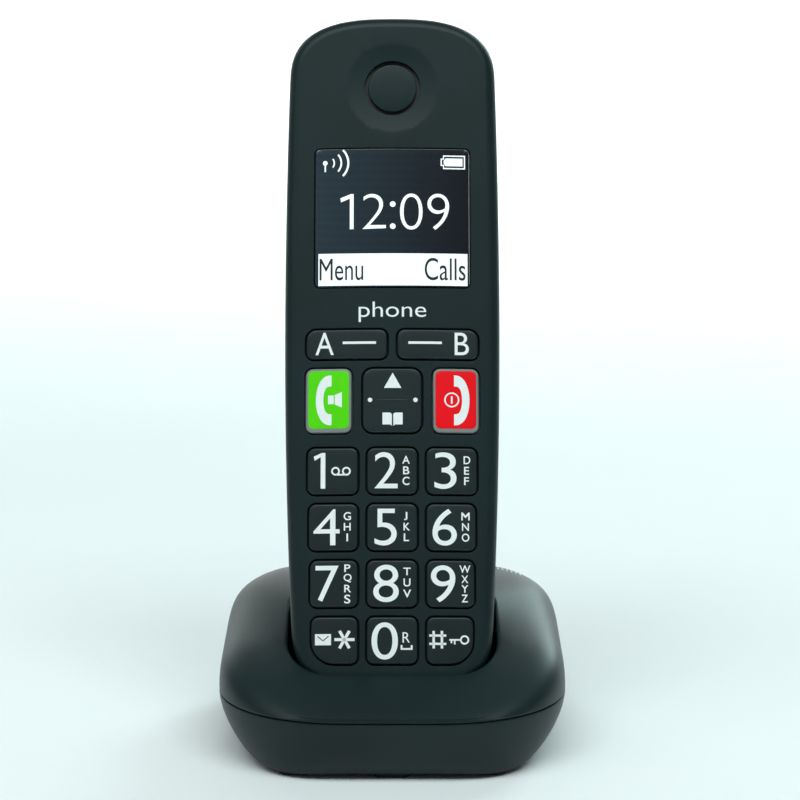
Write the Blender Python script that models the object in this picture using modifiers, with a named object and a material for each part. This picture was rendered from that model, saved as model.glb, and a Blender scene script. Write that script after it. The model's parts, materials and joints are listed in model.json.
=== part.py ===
"""Cordless telephone handset standing in its charging base.

Metres, +Z up. The object faces -Y, its right side is +X, and it rests on Z = 0.
The handset is modelled upright in its own frame, X across, Y from its face into its depth
and Z along its length from its lower end, and an empty leans it back into the base.
"""
import math

import bmesh
import bpy
from mathutils import Matrix, Vector

mm = 0.001

# ---------------------------------------------------------------- handset, overall
HANDSET_LENGTH = 172.6 * mm
HANDSET_HALF_WIDTH = 26.6 * mm
HANDSET_DEPTH = 27.0 * mm
WIDEST_FROM_BOTTOM = 97.0 * mm
BARREL_UP = 0.24
BARREL_DOWN = 0.33
TOP_ARCH = 16.0 * mm
TOP_POWER = 2.8
BOTTOM_ARCH = 20.0 * mm
BOTTOM_POWER = 2.5
FRONT_ROUND = 3.0 * mm
REAR_ROUND = 7.0 * mm
REAR_TAPER = 0.6 * mm
SPLIT_DEPTH = 11.0 * mm
CROWN_RADIUS = 180.0 * mm
CROWN_FULL_DEPTH = 3.0 * mm
CROWN_STEP = 5.3 * mm
WALL = 1.8 * mm
FACE_WALL = 2.0 * mm
GAP = 0.3 * mm
BEYOND = HANDSET_DEPTH + 13.0 * mm

# ---------------------------------------------------------------- keypad
KEY_GAP = 0.4 * mm
KEY_PROUD = 0.6 * mm
KEY_FLANGE = 0.7 * mm
KEY_FLANGE_THICK = 0.7 * mm
KEY_TRAVEL = 0.8 * mm
KEY_CORNER = 1.75 * mm
KEY_BEVEL = 0.45 * mm
KEY_HEIGHT = 11.4 * mm
KEY_ROW_GAP = 2.4 * mm
KEY_ROW_PITCH = KEY_HEIGHT + KEY_ROW_GAP
LAST_ROW_CENTRE = 16.1 * mm
MIDDLE_KEY_HALF_WIDTH = 6.1 * mm
SIDE_KEY_INNER = 8.4 * mm
SIDE_KEY_OUTER_TOP = 20.7 * mm
SIDE_KEY_OUTER_BOTTOM = 19.6 * mm
CORNER_KEY_ROUND = 6.5 * mm
CALL_KEY_INNER = 10.0 * mm
CALL_KEY_OUTER = 21.2 * mm
CALL_KEY_HEIGHT = 15.9 * mm
CALL_KEY_GAP = 3.8 * mm
CALL_KEY_CENTRE = (LAST_ROW_CENTRE + 3 * KEY_ROW_PITCH + KEY_HEIGHT / 2 + CALL_KEY_GAP
                   + CALL_KEY_HEIGHT / 2)
NAV_HALF_WIDTH = 7.2 * mm
NAV_CORNER = 2.5 * mm
SOFT_KEY_INNER = 1.3 * mm
SOFT_KEY_OUTER = 21.1 * mm
SOFT_KEY_HEIGHT = 7.3 * mm
SOFT_KEY_GAP = 2.45 * mm
SOFT_KEY_CENTRE = CALL_KEY_CENTRE + (CALL_KEY_HEIGHT + SOFT_KEY_HEIGHT) / 2 + SOFT_KEY_GAP
NAV_TILT_AXIS_DEPTH = 2.4 * mm
NAV_FLANGE_GAP = 0.6 * mm
MAT_TOP = 4.7 * mm
MAT_THICK = 0.8 * mm

# ---------------------------------------------------------------- display and earpiece
LENS_HALF_WIDTH = 19.1 * mm
LENS_HEIGHT = 35.0 * mm
LENS_TOP_FROM_END = 34.2 * mm
LENS_THICK = 1.2 * mm
LENS_CORNER = 1.2 * mm
LCD_BORDER = 1.4 * mm
LCD_FRONT = 3.6 * mm
LCD_THICK = 2.6 * mm
EARPIECE_FROM_END = 18.5 * mm
EARPIECE_RADIUS = 6.05 * mm
EARPIECE_DISH = 11.8 * mm
EARPIECE_DISH_DEPTH = 0.8 * mm
EARPIECE_GROOVE = 1.0 * mm
RECEIVER_RADIUS = 7.4 * mm
RECEIVER_THICK = 2.8 * mm

# ---------------------------------------------------------------- inside the handset
BOARD_FRONT = 7.4 * mm
BOARD_THICK = 1.2 * mm
BOARD_HALF_WIDTH = 20.5 * mm
BOARD_BOTTOM = 9.0 * mm
CELL_RADIUS = 5.2 * mm
CELL_LENGTH = 44.5 * mm
CELL_CLEARANCE = 0.4 * mm
CONTACT_THICK = 0.5 * mm
CONTACT_ROOM = 2.6 * mm
TRAY_WALL = 1.2 * mm
TRAY_BOTTOM = 57.0 * mm
DOOR_HALF_WIDTH = 16.5 * mm
DOOR_BOTTOM = 50.0 * mm
DOOR_MARGIN = 5.0 * mm
DOOR_CORNER = 3.0 * mm
HOOK_INNER = 6.0 * mm
HOOK_OUTER = 11.0 * mm
HOOK_REACH = 1.6 * mm
SPEAKER_RADIUS = 9.0 * mm
SPEAKER_THICK = 5.0 * mm
SPEAKER_FROM_END = 32.6 * mm
SLOT_REACH = 6.0 * mm
SLOT_STEP = 1.1 * mm
SLOT_PITCH = 2.6 * mm
SLOT_HEIGHT = 1.2 * mm
SCREW_OFFSET = 17.0 * mm
SCREW_FROM_END = 22.6 * mm
SCREW_SHANK = 1.1 * mm
SCREW_HEAD = 2.2 * mm
SCREW_SEAT = 16.0 * mm
SCREW_HEAD_THICK = 1.3 * mm
SCREW_TIP = 5.2 * mm
SCREW_POINT = 0.8 * mm
BOSS_RADIUS = 2.6 * mm
BOSS_FRONT = 1.0 * mm
BOSS_BORE_FRONT = 4.0 * mm
WELL_WALL = 1.1 * mm
MICROPHONE_RADIUS = 2.4 * mm
CHARGE_OFFSET = 9.0 * mm
CHARGE_DEPTH = 15.0 * mm
CHARGE_HALF_WIDTH = 1.9 * mm
CHARGE_HALF_DEPTH = 1.6 * mm
CHARGE_RECESS = 0.35 * mm
CHARGE_TOP = 3.4 * mm
PIN_HALF_WIDTH = 1.5 * mm
PIN_HALF_DEPTH = 1.3 * mm
PIN_LENGTH = 4.05 * mm

# ---------------------------------------------------------------- how the handset stands
LEAN = math.radians(20.0)
LIP_Y = -27.6 * mm
LIP_Z = 23.0 * mm
HIDDEN_LENGTH = 8.1 * mm
POCKET_CLEARANCE = 0.8 * mm
POCKET_SIDE_CLEARANCE = 0.5 * mm
POCKET_FRONT_ROUND = 11.0 * mm
POCKET_LOWER_ROUND = 12.0 * mm
POCKET_FLOOR_GAP = 1.0 * mm

# ---------------------------------------------------------------- base
BASE_HALF_WIDTH = 42.8 * mm
BASE_HALF_DEPTH = 44.0 * mm
BASE_CORNER_FRONT = 30.0 * mm
BASE_CORNER_REAR = 20.0 * mm
SEAM_Z = 15.5 * mm
RIM_SLOPE = math.radians(20.5)
RIM_CORNER = 12.0 * mm
RIM_LAP = 0.5 * mm
BASE_WALL = 2.0 * mm
FOOT_HALF_WIDTH = 32.5 * mm
FLOOR_FRONT = -38.5 * mm
FLOOR_REAR = 35.0 * mm
FLOOR_CORNER = 13.0 * mm
FLOOR_Z = 1.2 * mm
FLOOR_THICK = 1.6 * mm
FEET_DEPTH = 0.8 * mm
SOCKET_WIDTH = 13.0 * mm
SOCKET_HEIGHT = 11.0 * mm
SOCKET_DEPTH = 13.0 * mm
SOCKET_HOLE_WIDTH = 9.8 * mm
SOCKET_HOLE_HEIGHT = 7.6 * mm
SOCKET_OFFSET = 9.5 * mm
BASE_BOARD_HALF_WIDTH = 17.0 * mm
BASE_BOARD_FRONT = 13.0 * mm
PAGE_KEY_X = 21.8 * mm
PAGE_KEY_Y = 26.0 * mm
PAGE_KEY_RADIUS = 4.6 * mm
PAGE_KEY_PROUD = 0.6 * mm
BASE_SCREW_X = 21.0 * mm
BASE_SCREW_FRONT = -24.0 * mm
BASE_SCREW_REAR = 13.0 * mm
BASE_SCREW_SHANK = 1.2 * mm
BASE_SCREW_HEAD = 2.3 * mm
BASE_SCREW_TOP = 8.0 * mm
BASE_POST_RADIUS = 3.0 * mm
FRONT_POST_ROOF = 16.0 * mm
FRONT_BORE_TOP = 9.4 * mm
REAR_BORE_TOP = 12.0 * mm

for old in list(bpy.data.objects):
    bpy.data.objects.remove(old, do_unlink=True)

parts = bpy.data.collections.new("cordless_phone_with_base")
cutters = bpy.data.collections.new("cutters")
bpy.context.scene.collection.children.link(parts)
bpy.context.scene.collection.children.link(cutters)


# ================================================================ materials
def material(name, colour, roughness, metallic=0.0):
    made = bpy.data.materials.new(name)
    made.use_nodes = True
    shader = made.node_tree.nodes["Principled BSDF"]
    shader.inputs["Base Color"].default_value = (*colour, 1.0)
    shader.inputs["Roughness"].default_value = roughness
    shader.inputs["Metallic"].default_value = metallic
    return made


anthracite = (0.020, 0.030, 0.031)
looks = {
    "shell": (anthracite, 0.42, 0.0),
    "key": ((0.016, 0.024, 0.025), 0.38, 0.0),
    "green": ((0.11, 0.75, 0.01), 0.35, 0.0),
    "red": ((0.85, 0.01, 0.02), 0.35, 0.0),
    "glass": ((0.008, 0.012, 0.030), 0.06, 0.0),
    "rubber": ((0.012, 0.012, 0.012), 0.8, 0.0),
    "board": ((0.01, 0.12, 0.05), 0.5, 0.0),
    "steel": ((0.55, 0.55, 0.55), 0.3, 1.0),
    "brass": ((0.80, 0.62, 0.28), 0.28, 1.0),
    "cell": ((0.05, 0.20, 0.45), 0.35, 0.0),
    "black": ((0.01, 0.01, 0.012), 0.5, 0.0),
    "pale": ((0.60, 0.62, 0.60), 0.5, 0.0),
}


def dress(thing, look):
    colour, roughness, metallic = looks[look]
    thing.data.materials.clear()
    thing.data.materials.append(material(thing.name, colour, roughness, metallic))


# ================================================================ building tools
def add(name, mesh, home=parts):
    thing = bpy.data.objects.new(name, mesh)
    home.objects.link(thing)
    if home is cutters:
        thing.hide_render = True
        thing.display_type = "WIRE"
    return thing


def baked(thing):
    """Replace an object's mesh by what its modifiers make of it."""
    bpy.context.view_layer.update()
    graph = bpy.context.evaluated_depsgraph_get()
    mesh = bpy.data.meshes.new_from_object(thing.evaluated_get(graph))
    thing.modifiers.clear()
    thing.data = mesh
    return thing


def loft(name, rings, home=parts):
    """A closed body through rings of equal point counts, flat at both ends."""
    work = bmesh.new()
    loops = [[work.verts.new(point) for point in ring] for ring in rings]
    count = len(loops[0])
    for low, high in zip(loops, loops[1:]):
        for i in range(count):
            j = (i + 1) % count
            work.faces.new((low[i], low[j], high[j], high[i]))
    work.faces.new(loops[0][::-1])
    work.faces.new(loops[-1])
    bmesh.ops.recalc_face_normals(work, faces=work.faces)
    bmesh.ops.triangulate(work, faces=[f for f in work.faces if len(f.verts) == 4])
    mesh = bpy.data.meshes.new(name)
    work.to_mesh(mesh)
    work.free()
    return add(name, mesh, home)


def slab(name, outline, start, end, axis="Y", home=parts):
    """A flat outline given thickness from start to end along an axis."""
    curve = bpy.data.curves.new(name, "CURVE")
    curve.dimensions = "2D"
    curve.fill_mode = "BOTH"
    curve.extrude = (end - start) / 2
    spline = curve.splines.new("POLY")
    spline.points.add(len(outline) - 1)
    for point, (u, v) in zip(spline.points, outline):
        point.co = (u, v, 0, 1)
    spline.use_cyclic_u = True
    shape = bpy.data.objects.new(name, curve)
    parts.objects.link(shape)
    bpy.context.view_layer.update()
    graph = bpy.context.evaluated_depsgraph_get()
    mesh = bpy.data.meshes.new_from_object(shape.evaluated_get(graph))
    bpy.data.objects.remove(shape, do_unlink=True)
    middle = (start + end) / 2
    if axis == "Y":
        place = Matrix.Translation((0, middle, 0)) @ Matrix.Rotation(math.pi / 2, 4, "X")
    else:
        place = Matrix.Translation((0, 0, middle))
    mesh.transform(place)
    work = bmesh.new()
    work.from_mesh(mesh)
    bmesh.ops.remove_doubles(work, verts=work.verts, dist=1e-6)
    bmesh.ops.dissolve_limit(work, angle_limit=0.01, verts=work.verts, edges=work.edges)
    bmesh.ops.recalc_face_normals(work, faces=work.faces)
    work.to_mesh(mesh)
    work.free()
    return add(name, mesh, home)


def box(name, low, high, home=parts):
    work = bmesh.new()
    bmesh.ops.create_cube(work, size=1.0)
    size = [b - a for a, b in zip(low, high)]
    middle = [(a + b) / 2 for a, b in zip(low, high)]
    bmesh.ops.scale(work, vec=size, verts=work.verts)
    bmesh.ops.translate(work, vec=middle, verts=work.verts)
    mesh = bpy.data.meshes.new(name)
    work.to_mesh(mesh)
    work.free()
    return add(name, mesh, home)


def turned(name, profile, centre, axis="Y", sides=32, home=parts):
    """A profile of (radius, distance along the axis) turned about that axis."""
    mesh = bpy.data.meshes.new(name)
    work = bmesh.new()
    points = [work.verts.new((r, 0, h)) for r, h in profile]
    for a, b in zip(points, points[1:]):
        work.edges.new((a, b))
    work.to_mesh(mesh)
    work.free()
    thing = add(name, mesh, home)
    screw = thing.modifiers.new("turn", "SCREW")
    screw.axis = "Z"
    screw.steps = sides
    screw.render_steps = sides
    screw.use_merge_vertices = True
    screw.merge_threshold = 0.000001
    baked(thing)
    turn = Matrix.Rotation(-math.pi / 2, 4, "X") if axis == "Y" else Matrix()
    thing.data.transform(Matrix.Translation(centre) @ turn)
    work = bmesh.new()
    work.from_mesh(thing.data)
    bmesh.ops.remove_doubles(work, verts=work.verts, dist=1e-6)
    bmesh.ops.recalc_face_normals(work, faces=work.faces)
    work.to_mesh(thing.data)
    work.free()
    return thing


def rod(name, radius, start, end, centre, axis="Y", sides=24, home=parts):
    """A round bar; centre gives its place across the axis."""
    work = bmesh.new()
    bmesh.ops.create_cone(work, cap_ends=True, segments=sides, radius1=radius, radius2=radius,
                          depth=end - start)
    mesh = bpy.data.meshes.new(name)
    work.to_mesh(mesh)
    work.free()
    turn = Matrix.Rotation(-math.pi / 2, 4, "X") if axis == "Y" else Matrix()
    lift = Matrix.Translation((0, 0, (start + end) / 2))
    mesh.transform(Matrix.Translation(centre) @ turn @ lift)
    return add(name, mesh, home)


def combine(thing, others, operation):
    for other in others:
        step = thing.modifiers.new(operation.lower(), "BOOLEAN")
        step.operation = operation
        step.solver = "EXACT"
        step.object = other
        baked(thing)
    return thing


def cut(thing, *others):
    return combine(thing, others, "DIFFERENCE")


def join(thing, *others):
    return combine(thing, others, "UNION")


def tidy(thing):
    work = bmesh.new()
    work.from_mesh(thing.data)
    bmesh.ops.remove_doubles(work, verts=work.verts, dist=2e-6)
    bmesh.ops.dissolve_degenerate(work, edges=work.edges, dist=1e-6)
    work.to_mesh(thing.data)
    work.free()
    return thing


def rounded_outline(x0, x1, z0, z1, corners, steps=4):
    """Rounded rectangle; corners are radii from lower left, counter-clockwise."""
    lower_left, lower_right, upper_right, upper_left = corners
    spots = (
        (x0, z0, lower_left, math.pi),
        (x1, z0, lower_right, 1.5 * math.pi),
        (x1, z1, upper_right, 0.0),
        (x0, z1, upper_left, 0.5 * math.pi),
    )
    points = []
    for x, z, radius, start in spots:
        cx = x + radius if x == x0 else x - radius
        cz = z + radius if z == z0 else z - radius
        for k in range(steps + 1):
            angle = start + 0.5 * math.pi * k / steps
            points.append((cx + radius * math.cos(angle), cz + radius * math.sin(angle)))
    return points


def inset_outline(points, distance):
    """Move a closed counter-clockwise outline inward along its normals."""
    moved = []
    count = len(points)
    for i, (x, z) in enumerate(points):
        before = points[i - 1]
        after = points[(i + 1) % count]
        tangent = Vector((after[0] - before[0], after[1] - before[1])).normalized()
        moved.append((x - tangent.y * distance, z + tangent.x * distance))
    return moved


# ================================================================ handset form
def barrel(z):
    """Half-width of the handset's gently bowed sides at a height."""
    rise = (z - WIDEST_FROM_BOTTOM) / mm
    bow = BARREL_UP if rise > 0 else BARREL_DOWN
    return HANDSET_HALF_WIDTH - bow * rise * rise * 0.001 * mm


def handset_outline(side_steps=8, arch_steps=8, length=HANDSET_LENGTH):
    """Front view of the handset, counter-clockwise from its lower end."""
    right = []
    for k in range(arch_steps + 1):
        angle = 0.5 * math.pi * k / arch_steps
        z = BOTTOM_ARCH * (1 - math.cos(angle) ** (2 / BOTTOM_POWER))
        right.append((barrel(z) * math.sin(angle) ** (2 / BOTTOM_POWER), z))
    low, high = BOTTOM_ARCH, length - TOP_ARCH
    for k in range(1, side_steps):
        z = low + (high - low) * k / side_steps
        right.append((barrel(z), z))
    for k in range(arch_steps + 1):
        angle = 0.5 * math.pi * k / arch_steps
        z = high + TOP_ARCH * math.sin(angle) ** (2 / TOP_POWER)
        right.append((barrel(z) * max(math.cos(angle), 0.0) ** (2 / TOP_POWER), z))
    right[0] = (0.0, 0.0)
    right[-1] = (0.0, length)
    left = [(-x, z) for x, z in right[1:-1]]
    return right + left[::-1]


def face_profile(wall, depth_start, steps=3):
    """(depth, inset) pairs from the face back to the split."""
    radius = FRONT_ROUND - wall if wall < FRONT_ROUND else 0.4 * mm
    pairs = []
    for k in range(steps + 1):
        angle = 0.5 * math.pi * k / steps
        depth = depth_start + radius * (1 - math.cos(angle))
        pairs.append((depth, wall + radius * (1 - math.sin(angle))))
    return pairs


def back_profile(wall, depth_end, steps=4):
    """(depth, inset) pairs from the split to the rounded back."""
    radius = REAR_ROUND - wall
    pairs = []
    for k in range(steps + 1):
        angle = 0.5 * math.pi * k / steps
        depth = depth_end - radius + radius * math.sin(angle)
        pairs.append((depth, wall + REAR_TAPER + radius * (1 - math.cos(angle))))
    return pairs


def stack(name, outline, pairs, home=parts):
    rings = []
    for depth, inset in pairs:
        rings.append([(x, depth, z) for x, z in inset_outline(outline, inset)])
    return loft(name, rings, home)


def crown(thing):
    """Bow the face across its width; the bow dies away towards the split."""
    work = bmesh.new()
    work.from_mesh(thing.data)
    reach = int(HANDSET_HALF_WIDTH / CROWN_STEP) + 1
    for k in range(-reach, reach + 1):
        whole = list(work.verts) + list(work.edges) + list(work.faces)
        place = (k * CROWN_STEP, 0, 0)
        bmesh.ops.bisect_plane(work, geom=whole, plane_co=place, plane_no=(1, 0, 0), dist=1e-7)
    whole = list(work.verts) + list(work.edges) + list(work.faces)
    place = (0, CROWN_FULL_DEPTH, 0)
    bmesh.ops.bisect_plane(work, geom=whole, plane_co=place, plane_no=(0, 1, 0), dist=1e-7)
    for vert in work.verts:
        station = abs(vert.co.x) / CROWN_STEP
        low = math.floor(station)
        part_way = station - low
        square = low * low * (1 - part_way) + (low + 1) ** 2 * part_way
        fall = square * CROWN_STEP ** 2 / (2 * CROWN_RADIUS)
        fade = (SPLIT_DEPTH - vert.co.y) / (SPLIT_DEPTH - CROWN_FULL_DEPTH)
        vert.co.y += fall * min(1.0, max(0.0, fade))
    bmesh.ops.triangulate(work, faces=[f for f in work.faces if len(f.verts) > 4])
    work.to_mesh(thing.data)
    work.free()
    return thing


# where the pocket's rear rim meets the handset, and the pocket's width there
rim_rear = HIDDEN_LENGTH + HANDSET_DEPTH * math.tan(LEAN + RIM_SLOPE)
pocket_half_width = barrel(rim_rear) + POCKET_SIDE_CLEARANCE

handset_axis = bpy.data.objects.new("handset_axis", None)
parts.objects.link(handset_axis)
along = Vector((0, math.sin(LEAN), math.cos(LEAN)))
inward = Vector((0, math.cos(LEAN), -math.sin(LEAN)))
lip = Vector((0, LIP_Y, LIP_Z)) + inward * POCKET_CLEARANCE
handset_axis.location = lip - along * HIDDEN_LENGTH
handset_axis.rotation_euler = (-LEAN, 0, 0)

outline = handset_outline()
rear_start = SPLIT_DEPTH + GAP

# --- front shell: an open tub with a window, key openings and an earpiece recess
front = stack("handset_front_shell", outline,
              face_profile(0.0, 0.0) + [(SPLIT_DEPTH, 0.0)])
front_hollow = stack("cut_front_hollow", outline,
                     face_profile(WALL, FACE_WALL) + [(SPLIT_DEPTH + GAP, WALL)], cutters)
cut(front, front_hollow)
screw_z = HANDSET_LENGTH - SCREW_FROM_END
for side in (-1, 1):
    at = (side * SCREW_OFFSET, 0, screw_z)
    boss = rod(f"join_boss_{side}", BOSS_RADIUS, BOSS_FRONT, SPLIT_DEPTH - GAP, at, home=cutters)
    bore = rod(f"cut_boss_{side}", SCREW_SHANK + GAP, BOSS_BORE_FRONT, SPLIT_DEPTH + 2 * mm, at,
               home=cutters)
    join(front, boss)
    cut(front, bore)

lens_top = HANDSET_LENGTH - LENS_TOP_FROM_END
lens_bottom = lens_top - LENS_HEIGHT
lens_corners = (LENS_CORNER,) * 4
lens_outline = rounded_outline(-LENS_HALF_WIDTH, LENS_HALF_WIDTH, lens_bottom, lens_top,
                               lens_corners, 3)
seat_outline = inset_outline(lens_outline, -GAP)
lens_seat = slab("cut_lens_seat", seat_outline, -1 * mm, LENS_THICK + 2 * GAP, home=cutters)
window = box("cut_window",
             (-LENS_HALF_WIDTH + LCD_BORDER, -1 * mm, lens_bottom + LCD_BORDER),
             (LENS_HALF_WIDTH - LCD_BORDER, 5 * mm, lens_top - LCD_BORDER), cutters)
cut(front, lens_seat, window)

ear_z = HANDSET_LENGTH - EARPIECE_FROM_END
dish_flat = EARPIECE_RADIUS + 1.6 * mm
dish_rise = EARPIECE_DISH_DEPTH * 4 * mm / (EARPIECE_DISH - dish_flat)
ear_dish = turned("cut_ear_dish",
                  [(0, EARPIECE_DISH_DEPTH), (dish_flat, EARPIECE_DISH_DEPTH),
                   (EARPIECE_DISH + 4 * mm, -dish_rise), (0, -dish_rise)],
                  (0, 0, ear_z), home=cutters)
ear_hole = rod("cut_ear_hole", EARPIECE_RADIUS + EARPIECE_GROOVE, -1 * mm, 6 * mm,
               (0, 0, ear_z), home=cutters)
cut(front, ear_dish, ear_hole)
tidy(front)
mic_hole = rod("cut_mic_hole", 0.6 * mm, -1 * mm, 5 * mm, (0, 6.2 * mm, 0), "Z", 12, cutters)
cut(front, mic_hole)

# --- keys: each rises through its opening and is held by a flange behind the face
middle = MIDDLE_KEY_HALF_WIDTH


def side_outer(z):
    """Outer edge of the side columns, which draw in towards the lower end."""
    top_row = LAST_ROW_CENTRE + 3 * KEY_ROW_PITCH
    share = (z - LAST_ROW_CENTRE) / (top_row - LAST_ROW_CENTRE)
    return SIDE_KEY_OUTER_BOTTOM + (SIDE_KEY_OUTER_TOP - SIDE_KEY_OUTER_BOTTOM) * share


def make_key(name, x0, x1, z0, z1, corners, look, under=GAP):
    shape = rounded_outline(x0, x1, z0, z1, corners, 2)
    key = slab(name, shape, -KEY_PROUD, FACE_WALL + under + KEY_FLANGE_THICK / 2)
    soften = key.modifiers.new("soften", "BEVEL")
    soften.width = KEY_BEVEL
    soften.segments = 1
    soften.limit_method = "WEIGHT"
    weights = key.data.attributes.new("bevel_weight_edge", "FLOAT", "EDGE")
    for edge in key.data.edges:
        ends = [key.data.vertices[i].co.y for i in edge.vertices]
        weights.data[edge.index].value = 1.0 if max(ends) < -KEY_PROUD + 1e-6 else 0.0
    baked(key)
    flange_from = FACE_WALL + under
    wide = inset_outline(shape, -KEY_FLANGE)
    flange = slab("join_flange_" + name, wide, flange_from, flange_from + KEY_FLANGE_THICK,
                  home=cutters)
    join(key, flange)
    opening = slab("cut_opening_" + name, inset_outline(shape, -KEY_GAP), -1 * mm, 6 * mm,
                   home=cutters)
    cut(front, opening)
    tidy(key)
    crown(key)
    dress(key, look)
    return key


keys = []
names = (("key_1", "key_2", "key_3"), ("key_4", "key_5", "key_6"),
         ("key_7", "key_8", "key_9"), ("key_star", "key_0", "key_hash"))
for row, row_names in enumerate(names):
    centre = LAST_ROW_CENTRE + (3 - row) * KEY_ROW_PITCH
    z0, z1 = centre - KEY_HEIGHT / 2, centre + KEY_HEIGHT / 2
    outer = side_outer(centre)
    for column, key_name in enumerate(row_names):
        radii = [KEY_CORNER] * 4
        x0, x1 = -middle, middle
        if column == 0:
            x0, x1 = -outer, -SIDE_KEY_INNER
            if row == 3:
                radii[0] = CORNER_KEY_ROUND
        if column == 2:
            x0, x1 = SIDE_KEY_INNER, outer
            if row == 3:
                radii[1] = CORNER_KEY_ROUND
        keys.append(make_key(key_name, x0, x1, z0, z1, radii, "key"))

call_low = CALL_KEY_CENTRE - CALL_KEY_HEIGHT / 2
call_high = CALL_KEY_CENTRE + CALL_KEY_HEIGHT / 2
call_radii = (KEY_CORNER,) * 4
keys.append(make_key("talk_key", -CALL_KEY_OUTER, -CALL_KEY_INNER, call_low, call_high,
                     call_radii, "green"))
keys.append(make_key("end_key", CALL_KEY_INNER, CALL_KEY_OUTER, call_low, call_high,
                     call_radii, "red"))
keys.append(make_key("nav_key", -NAV_HALF_WIDTH, NAV_HALF_WIDTH, call_low, call_high,
                     (NAV_CORNER,) * 4, "key", NAV_FLANGE_GAP))
soft_low = SOFT_KEY_CENTRE - SOFT_KEY_HEIGHT / 2
soft_high = SOFT_KEY_CENTRE + SOFT_KEY_HEIGHT / 2
keys.append(make_key("soft_key_a", -SOFT_KEY_OUTER, -SOFT_KEY_INNER, soft_low, soft_high,
                     (KEY_CORNER, KEY_CORNER, KEY_CORNER, 2.4 * mm), "key"))
keys.append(make_key("soft_key_b", SOFT_KEY_INNER, SOFT_KEY_OUTER, soft_low, soft_high,
                     (KEY_CORNER, KEY_CORNER, 2.4 * mm, KEY_CORNER), "key"))
tidy(front)
crown(front)
dress(front, "shell")

# --- display and earpiece
lens = slab("screen_lens", lens_outline, 0.0, LENS_THICK)
crown(lens)
dress(lens, "glass")
lcd = box("lcd_module", (-LENS_HALF_WIDTH + LCD_BORDER - 0.6 * mm, LCD_FRONT,
                         lens_bottom + LCD_BORDER - 0.6 * mm),
          (LENS_HALF_WIDTH - LCD_BORDER + 0.6 * mm, LCD_FRONT + LCD_THICK,
           lens_top - LCD_BORDER + 0.6 * mm))
dress(lcd, "pale")
ear_front = EARPIECE_DISH_DEPTH - 0.2 * mm
ear_cap = turned("earpiece_cap",
                 [(0, FACE_WALL), (EARPIECE_RADIUS, FACE_WALL),
                  (EARPIECE_RADIUS, ear_front + 0.3 * mm),
                  (EARPIECE_RADIUS - 0.3 * mm, ear_front), (0, ear_front - 0.2 * mm)],
                 (0, 0, ear_z))
dress(ear_cap, "shell")
receiver = rod("receiver_capsule", RECEIVER_RADIUS, CROWN_FULL_DEPTH,
               CROWN_FULL_DEPTH + RECEIVER_THICK, (0, 0, ear_z))
dress(receiver, "steel")

# --- silicone mat and circuit board behind the keys
mat_low = LAST_ROW_CENTRE - KEY_HEIGHT / 2 + 0.5 * mm
mat_high = soft_high
mat = slab("keypad_mat",
           rounded_outline(-BOARD_HALF_WIDTH + mm, BOARD_HALF_WIDTH - mm, mat_low, mat_high,
                           (6 * mm, 6 * mm, 2 * mm, 2 * mm)), MAT_TOP, MAT_TOP + MAT_THICK)
crown(mat)
dress(mat, "pale")
board_top = ear_z - RECEIVER_RADIUS - 1 * mm
board = slab("handset_circuit_board",
             rounded_outline(-BOARD_HALF_WIDTH, BOARD_HALF_WIDTH, BOARD_BOTTOM, board_top,
                             (8 * mm, 8 * mm, 2 * mm, 2 * mm)),
             BOARD_FRONT, BOARD_FRONT + BOARD_THICK)
dress(board, "board")
microphone = rod("microphone", MICROPHONE_RADIUS, 3.2 * mm, 5.6 * mm,
                 (0, 5.2 * mm, 0), "Z", 20)
dress(microphone, "steel")

# --- rear shell with battery bay, door seat, screw wells and speaker slots
rear = stack("handset_rear_shell", outline,
             [(rear_start, 0.0)] + back_profile(0.0, HANDSET_DEPTH))
rear_hollow = stack("cut_rear_hollow", outline,
                    [(rear_start - GAP, WALL)] + back_profile(WALL, HANDSET_DEPTH - WALL),
                    cutters)
cut(rear, rear_hollow)
bay_half = 2 * CELL_RADIUS + 2 * CELL_CLEARANCE
bay_top = TRAY_BOTTOM + CELL_LENGTH + 2 * CONTACT_ROOM
bay_floor = HANDSET_DEPTH - WALL - 2 * CELL_RADIUS - 2 * CELL_CLEARANCE - 2 * GAP
door_top = bay_top + DOOR_MARGIN
ledge_front = HANDSET_DEPTH - WALL - 1.9 * mm
ledge = box("join_ledge",
            (-DOOR_HALF_WIDTH - 1.6 * mm, ledge_front, DOOR_BOTTOM - 2.2 * mm),
            (DOOR_HALF_WIDTH + 1.6 * mm, HANDSET_DEPTH - WALL / 2, door_top + 2.2 * mm), cutters)
bay_block = box("join_bay",
                (-bay_half - TRAY_WALL, bay_floor - TRAY_WALL, TRAY_BOTTOM - TRAY_WALL),
                (bay_half + TRAY_WALL, HANDSET_DEPTH - WALL / 2, bay_top + TRAY_WALL), cutters)
join(rear, ledge, bay_block)
bay = box("cut_bay", (-bay_half, bay_floor, TRAY_BOTTOM), (bay_half, BEYOND, bay_top), cutters)
door_outline = rounded_outline(-DOOR_HALF_WIDTH, DOOR_HALF_WIDTH, DOOR_BOTTOM, door_top,
                               (DOOR_CORNER,) * 4)
door_seat = slab("cut_door_seat", inset_outline(door_outline, -GAP),
                 HANDSET_DEPTH - WALL - GAP, BEYOND, home=cutters)
cut(rear, door_seat, bay)
head_seat = SCREW_SEAT + GAP
head_top = head_seat + SCREW_HEAD_THICK
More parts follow.
